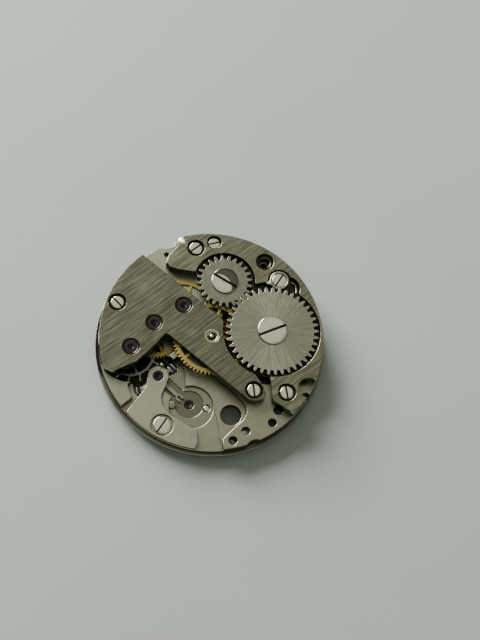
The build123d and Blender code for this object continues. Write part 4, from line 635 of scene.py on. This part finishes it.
class MOVEMENT_OT_stage(bpy.types.Operator):
    """Adds the floor, the lamps, the surroundings and the camera"""

    bl_idname = "movement.stage"
    bl_label = "Stage"

    def execute(self, context):
        look = context.scene.stage_look
        self.add_floor(look)
        self.add_surroundings(context)
        self.add_lamp(context, "key_lamp", (-0.185, 0.26, 0.20), (0.25, 0.25), 14.4)
        self.add_camera(context, look)
        return {"FINISHED"}

    def add_floor(self, look):
        bpy.ops.object.select_all(action="DESELECT")
        bpy.ops.mesh.primitive_plane_add(size=3.0, location=(0, 0, -0.00001))
        floor = bpy.context.object
        floor.name = "floor"
        finish = Finish("pale_floor")
        cloud = finish.noise(finish.place(size=(14, 14, 14)), detail=2)
        tone = finish.blend(cloud.step(0.2, 0.8), shade(look.floor_colour, 0.985), shade(look.floor_colour, 1.015))
        finish.set(base_color=tone, roughness=0.7)
        floor.data.materials.append(finish.material)

    def add_surroundings(self, context):
        world = bpy.data.worlds.new("studio")
        context.scene.world = world
        world.use_nodes = True
        tree = world.node_tree
        tree.nodes.clear()
        point = tree.nodes.new("ShaderNodeTexCoord")
        overhead = self.add_glow(
            tree, point, (0.05, 0.34, 0.94),
            ((0.25, (0.035, 0.04, 0.035, 1)), (0.93, (0.24, 0.25, 0.22, 1)), (0.99, (0.60, 0.61, 0.54, 1))),
        )
        behind = self.add_glow(
            tree, point, (0.05, -0.85, 0.52), ((0.45, (0, 0, 0, 1)), (0.95, (0.25, 0.26, 0.23, 1)))
        )
        both = tree.nodes.new("ShaderNodeMix")
        both.data_type = "RGBA"
        both.blend_type = "ADD"
        both.inputs["Factor"].default_value = 1.0
        light = tree.nodes.new("ShaderNodeBackground")
        end = tree.nodes.new("ShaderNodeOutputWorld")
        tree.links.new(overhead, both.inputs[6])
        tree.links.new(behind, both.inputs[7])
        tree.links.new(both.outputs[2], light.inputs["Color"])
        tree.links.new(light.outputs["Background"], end.inputs["Surface"])

    def add_glow(self, tree, point, direction, stops):
        """A soft glow round a direction: stops of how nearly the view points there, and a colour."""
        toward = tree.nodes.new("ShaderNodeVectorMath")
        toward.operation = "DOT_PRODUCT"
        toward.inputs[1].default_value = direction
        ramp = tree.nodes.new("ShaderNodeValToRGB")
        for index, (place, colour) in enumerate(stops):
            stop = ramp.color_ramp.elements[index] if index < 2 else ramp.color_ramp.elements.new(place)
            stop.position = place
            stop.color = colour
        tree.links.new(point.outputs["Generated"], toward.inputs[0])
        tree.links.new(toward.outputs["Value"], ramp.inputs["Fac"])
        return ramp.outputs["Color"]

    def add_lamp(self, context, name, spot, size, radiance):
        data = bpy.data.lights.new(name, "AREA")
        data.shape = "RECTANGLE"
        data.size, data.size_y = size
        data.energy = radiance * math.pi * size[0] * size[1]
        lamp = bpy.data.objects.new(name, data)
        context.scene.collection.objects.link(lamp)
        lamp.location = spot
        lamp.rotation_euler = (-Vector(spot)).to_track_quat("-Z", "Y").to_euler()

    def add_camera(self, context, look):
        data = bpy.data.cameras.new("camera")
        camera = bpy.data.objects.new("camera", data)
        context.scene.collection.objects.link(camera)
        tilt, turn = look.camera_tilt, look.camera_turn
        back = Vector((math.sin(tilt) * math.sin(turn), -math.sin(tilt) * math.cos(turn), math.cos(tilt)))
        level = Vector((math.cos(turn), math.sin(turn), 0))
        upward = back.cross(level)
        right = level * math.cos(turn) - upward * math.sin(turn)
        up = level * math.sin(turn) + upward * math.cos(turn)
        seat = Vector((0, 0, 1.1 * MM))
        turned_axes = Matrix((right, up, back)).transposed().to_4x4()
        camera.matrix_world = Matrix.Translation(seat + back * look.camera_distance) @ turned_axes
        data.lens = look.camera_lens
        data.sensor_width = 36
        data.shift_x, data.shift_y = (shift / FRAME_HEIGHT for shift in FRAME_SHIFT)
        data.clip_start = 0.005
        data.clip_end = 10
        context.scene.camera = camera


class MOVEMENT_OT_plate_and_bridges(bpy.types.Operator):
    """Makes the main plate, the two bridges and the pallet cock with broken edges"""

    bl_idname = "movement.plate_and_bridges"
    bl_label = "Plate and bridges"

    def execute(self, context):
        look = context.scene.movement_look
        plate = frosted_nickel("frosted_plate", look.plate_colour, PAINTED_SHADE_POCKETS, PAINTED_SHADE_BOWLS)
        # One plating in two copies: the barrel bridge's painted lighter and the train bridge's darker, for the light
        # that falls on each.
        barrel = grained_nickel("grained_barrel_bridge", shade(look.bridge_colour, 1.15), look.grain_angle)
        train = grained_nickel("grained_train_bridge", shade(look.bridge_colour, 0.88), look.grain_angle)
        cock = frosted_nickel("frosted_cock", look.cock_colour)
        for node, slot, material, thin in (
            ("main_plate", "nickel_plate", plate, None),
            ("barrel_bridge", "nickel_bridge", barrel, None),
            ("train_bridge", "nickel_bridge", train, TRAIN_FOOT),
            ("pallet_cock", "nickel_cock", cock, None),
        ):
            piece = bevelled(node, f"{node}_finished", look.edge_width, thin)
            finished(piece, "frame", slot, material, node)
        return {"FINISHED"}


class MOVEMENT_OT_winding_wheels(bpy.types.Operator):
    """Makes the ratchet wheel, the crown wheel and the click with broken edges"""

    bl_idname = "movement.winding_wheels"
    bl_label = "Winding wheels"

    def execute(self, context):
        look = context.scene.movement_look
        rays = sunburst_steel("ratchet_wheel_steel", shade(look.winding_colour, 1.12), middle("ratchet_wheel")[0])
        plain = satin_steel("crown_wheel_steel", shade(look.winding_colour, 0.76), 0.24)
        for node, body, material in (("ratchet_wheel", "ratchet", rays), ("crown_wheel", "crown_wheel", plain)):
            piece = bevelled(node, f"{node}_finished", look.edge_width * 0.6)
            finished(piece, body, "winding_steel", material, node)
        pivot, radius = middle("click_screw")[:2]
        # Up-facing faces of the click round its screw head are painted nearly black: painted shade in the gap.
        steel = satin_steel("click_steel", shade(look.winding_colour, 1.3), 0.24, (pivot, 0, radius + 0.09))
        piece = bevelled("click", "click_finished", look.edge_width * 0.6)
        finished(piece, "click", "winding_steel", steel, "click")
        return {"FINISHED"}


class MOVEMENT_OT_train(bpy.types.Operator):
    """Gives the barrel, the train wheels and the motion work their gilt brass and broken edges"""

    bl_idname = "movement.train"
    bl_label = "Going train"

    def execute(self, context):
        look = context.scene.movement_look
        for node, body in (
            ("centre_wheel", "centre_arbor"), ("third_wheel", "third_arbor"), ("fourth_wheel", "fourth_arbor"),
            ("barrel_drum", "barrel"), ("barrel_cover", "barrel"), ("hour_wheel", "hour_wheel"),
            ("minute_wheel", "minute_wheel"),
        ):
            # The barrel's drum and cover get a darker copy of the brass: painted shade under the bridge.
            colour = shade(look.brass_colour, 0.3) if body == "barrel" else look.brass_colour
            material = gilt_brass(f"{node}_brass", colour, middle(node)[0])
            piece = bevelled(node, f"{node}_finished", look.edge_width * 0.4)
            finished(piece, body, "gilt_brass", material, node)
        return {"FINISHED"}


class MOVEMENT_OT_steelwork(bpy.types.Operator):
    """Gives the arbors, the escapement and the keyless works their steel"""

    bl_idname = "movement.steelwork"
    bl_label = "Steelwork"

    def execute(self, context):
        look = context.scene.movement_look
        steel = satin_steel("turned_steel", look.tool_colour, 0.28)
        dress(
            steel, "barrel_arbor", "cannon_pinion", "setting_wheel", "winding_pinion", "sliding_pinion",
            "setting_lever", "yoke", "setting_cover", "crown_wheel_core",
        )
        for node in ("third_pinion", "fourth_pinion", "escape_pinion", "pallet_arbor"):
            # Up-facing faces within 0.4 mm of each pinion's axis are painted nearly black: painted shade of the pivot
            # in its jewel hole.
            dress(satin_steel(f"{node}_steel", look.tool_colour, 0.28, (middle(node)[0], -1, 0.4)), node)
        spring = satin_steel("spring_steel", shade(look.tool_colour, 0.8), 0.24)
        dress(spring, "mainspring", "yoke_spring")
        finished(self.click_wire(), "frame", "spring_steel", spring, "click_spring")
        nickel = satin_steel("bushing_nickel", shade(look.cock_colour, 1.35), 0.2)
        dress(nickel, "balance_cap_plate", "centre_bushing_lower")
        self.centre_bushing(look, nickel)
        for node, body in (("escape_wheel", "escape_arbor"), ("pallet_fork", "pallet_fork")):
            piece = bevelled(node, f"{node}_finished", look.edge_width * 0.3)
            finished(piece, body, "tool_steel", steel, node)
        return {"FINISHED"}

    def click_wire(self):
        """The bent wire that presses on the click, as a round rod with flat filled ends."""
        bpy.ops.object.select_all(action="DESELECT")
        bpy.ops.curve.primitive_nurbs_path_add()
        wire = bpy.context.object
        wire.name = "click_spring_wire"
        wire.data.splines.clear()
        line = wire.data.splines.new("BEZIER")
        line.bezier_points.add(len(CLICK_WIRE_BENDS) - 1)
        for bend, (x, y) in zip(line.bezier_points, CLICK_WIRE_BENDS):
            bend.co = (x * MM, y * MM, CLICK_WIRE_HEIGHT * MM)
            bend.handle_left_type = bend.handle_right_type = "AUTO"
        wire.data.resolution_u = 10
        wire.data.bevel_depth = CLICK_WIRE_RADIUS * MM
        wire.data.bevel_resolution = 5
        wire.data.use_fill_caps = True
        bpy.ops.object.convert(target="MESH")
        wire = bpy.context.object
        settle(wire, 50)
        return wire

    def centre_bushing(self, look, nickel):
        """The turned bushing with its oil sink, and the rounded end of the centre pivot in it."""
        place, radius, low, high = middle("centre_bushing_upper")
        profile = [
            (0.335, low), (radius, low), (radius, high - 0.05), (radius - 0.04, high), (radius - 0.16, high),
            (radius - 0.18, high - 0.04), (0.52, high - 0.05), (0.44, high - 0.14), (0.335, high - 0.20),
            (0.335, low),
        ]
        bushing = turned("centre_bushing_finished", place, profile)
        finished(bushing, "frame", "bushing_brass", nickel, "centre_bushing_upper")
        top = middle("centre_pinion")[3]
        # A ring on the pinion's up-facing faces round the pivot end is painted nearly black: painted shade in the
        # gap.
        pivot = satin_steel("centre_pivot_steel", look.tool_colour, 0.28, (place, 0.16, 0.36))
        dress(pivot, "centre_pinion")
        dome = [(0.18, top - 0.02), (0.18, top + 0.01), (0.13, top + 0.03), (0.07, top + 0.04), (0.02, top + 0.043)]
        finished(turned("centre_pivot_end", place, dome), "centre_arbor", "tool_steel", nickel)


class MOVEMENT_OT_jewels(bpy.types.Operator):
    """Makes the pierced jewels with their dished oil sinks, and the stones"""

    bl_idname = "movement.jewels"
    bl_label = "Jewels"

    def execute(self, context):
        look = context.scene.movement_look
        red = ruby("ruby", look.ruby_colour)
        dress(red, "entry_stone", "exit_stone", "balance_cap_jewel")
        for node, pivot in (
            ("third_jewel_upper", 0.11), ("fourth_jewel_upper", 0.12), ("escape_jewel_upper", 0.08),
            ("pallet_jewel_upper", 0.07), ("balance_hole_jewel", 0.06),
        ):
            self.pierced(node, pivot + 0.015, red, 1)
        for node, pivot in (
            ("third_jewel_lower", 0.11), ("fourth_jewel_lower", 0.12), ("escape_jewel_lower", 0.08),
            ("pallet_jewel_lower", 0.07),
        ):
            self.pierced(node, pivot + 0.015, red, -1)
        return {"FINISHED"}

    def pierced(self, node, hole, material, side):
        place, radius, low, high = middle(node)
        face, back = (high, low) if side > 0 else (low, high)
        depth = 0.42 * (high - low)
        sink = 0.56 * radius
        dish = [
            (sink + (hole - sink) * share, face - side * depth * math.sin(math.pi / 2 * share))
            for share in (0.0, 0.2, 0.4, 0.6, 0.8, 1.0)
        ]
        edge = 0.05 * radius
        profile = [
            (hole, back), (radius - edge, back), (radius, back + side * edge), (radius, face - side * edge),
            (radius - edge, face), *dish, (hole, back),
        ]
        piece = turned(f"{node}_finished", place, profile)
        finished(piece, "frame", "ruby", material, node)


class MOVEMENT_OT_screws(bpy.types.Operator):
    """Makes the polished screws with sawn slots"""

    bl_idname = "movement.screws"
    bl_label = "Screws"

    def execute(self, context):
        look = context.scene.movement_look
        cap = middle("balance_cap_screw")[0]
        dress(polished_steel("cap_screw_steel", look.screw_colour, cap, 0, 0), "balance_cap_screw")
        dress(satin_steel("cover_screw_steel", look.screw_colour, 0.2), "setting_cover_screws")
        for node, body, head, angle, width, grip in (
            ("ratchet_screw", "ratchet", 0.20, 22, 0.24, 0.28),
            ("crown_wheel_screw", "frame", 0.20, -32, 0.24, 0.28),
            ("click_screw", "frame", 0.20, 57, 0.15, 0.28),
            ("pallet_cock_screw", "frame", 0.26, 56, 0.15, 0.34),
            ("setting_lever_screw", "setting_lever", 0.30, 15, 0.15, 0.30),
        ):
            place, radius, low, high = middle(node)
            if node == "setting_lever_screw":
                radius = 0.62
            # Only the crown wheel's screw gets the painted dark reflection.
            clear = CROWN_SCREW_CLEAR if node == "crown_wheel_screw" else ALL_CLEAR
            steel = polished_steel(f"{node}_steel", look.screw_colour, place, angle, width, clear)
            piece = self.screw(f"{node}_finished", place, radius, low, high, head, grip, angle, width)
            finished(piece, body, "polished_steel", steel, node)
        self.bridge_screws(look)
        return {"FINISHED"}

    def bridge_screws(self, look):
        low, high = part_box("bridge_screws")
        for index, (reach, bearing, angle) in enumerate(
            ((9.69, 99.0, 38), (9.34, -38.5, -82), (10.05, 159.7, -48), (6.93, -54.0, -85))
        ):
            place = (reach * math.cos(math.radians(bearing)), reach * math.sin(math.radians(bearing)))
            name = f"bridge_screw_{index + 1}"
            piece = self.screw(name, place, 0.66, low.z / MM, high.z / MM, 0.30, 0.34, angle, 0.16)
            steel = polished_steel(f"{name}_steel", look.screw_colour, place, angle, 0.16)
            finished(piece, "frame", "polished_steel", steel)
        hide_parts("bridge_screws")

    def screw(self, name, place, radius, low, high, head, grip, angle, width):
        under = high - head
        crown = 0.012
        profile = [
            (grip * 0.75, low), (grip, low + 0.06), (grip, under), (radius, under), (radius, high - 0.055 - crown),
            (radius - 0.012, high - 0.030 - crown), (radius - 0.035, high - 0.010 - crown),
            (radius - 0.065, high - crown), (radius * 0.75, high - crown * 0.55), (radius * 0.5, high - crown * 0.25),
            (radius * 0.25, high - crown * 0.06), (radius * 0.08, high),
        ]
        piece = turned(name, place, profile, sides=80)
        cut_slot(piece, place, high, 2 * radius + 0.4, width, 0.12 + crown / 2, angle)
        use_modifier(piece, "BEVEL", width=0.012 * MM, segments=2, limit_method="ANGLE", angle_limit=math.radians(45))
        settle(piece, 24)
        return piece


OPERATORS = (
    MOVEMENT_OT_stage, MOVEMENT_OT_plate_and_bridges, MOVEMENT_OT_winding_wheels, MOVEMENT_OT_train,
    MOVEMENT_OT_steelwork, MOVEMENT_OT_jewels, MOVEMENT_OT_screws,
)


class MOVEMENT_PT_panel(bpy.types.Panel):
    """Lists the movement's operators and settings"""

    bl_idname = "MOVEMENT_PT_panel"
    bl_label = "Watch movement"
    bl_space_type = "VIEW_3D"
    bl_region_type = "UI"
    bl_category = "Movement"

    def draw(self, context):
        for operator in OPERATORS:
            self.layout.operator(operator.bl_idname)
        for look in (context.scene.movement_look, context.scene.stage_look):
            for name in look.bl_rna.properties.keys():
                if name not in ("rna_type", "name"):
                    self.layout.prop(look, name)


CLASSES = (MovementLook, StageLook, *OPERATORS, MOVEMENT_PT_panel)


def register():
    for known in CLASSES:
        bpy.utils.register_class(known)
    bpy.types.Scene.movement_look = bpy.props.PointerProperty(type=MovementLook)
    bpy.types.Scene.stage_look = bpy.props.PointerProperty(type=StageLook)


def unregister():
    del bpy.types.Scene.stage_look
    del bpy.types.Scene.movement_look
    for known in reversed(CLASSES):
        bpy.utils.unregister_class(known)


def main():
    """Builds everything in order."""
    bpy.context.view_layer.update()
    register()
    for operator in OPERATORS:
        group, action = operator.bl_idname.split(".")
        getattr(getattr(bpy.ops, group), action)()


if __name__ == "__main__":
    main()
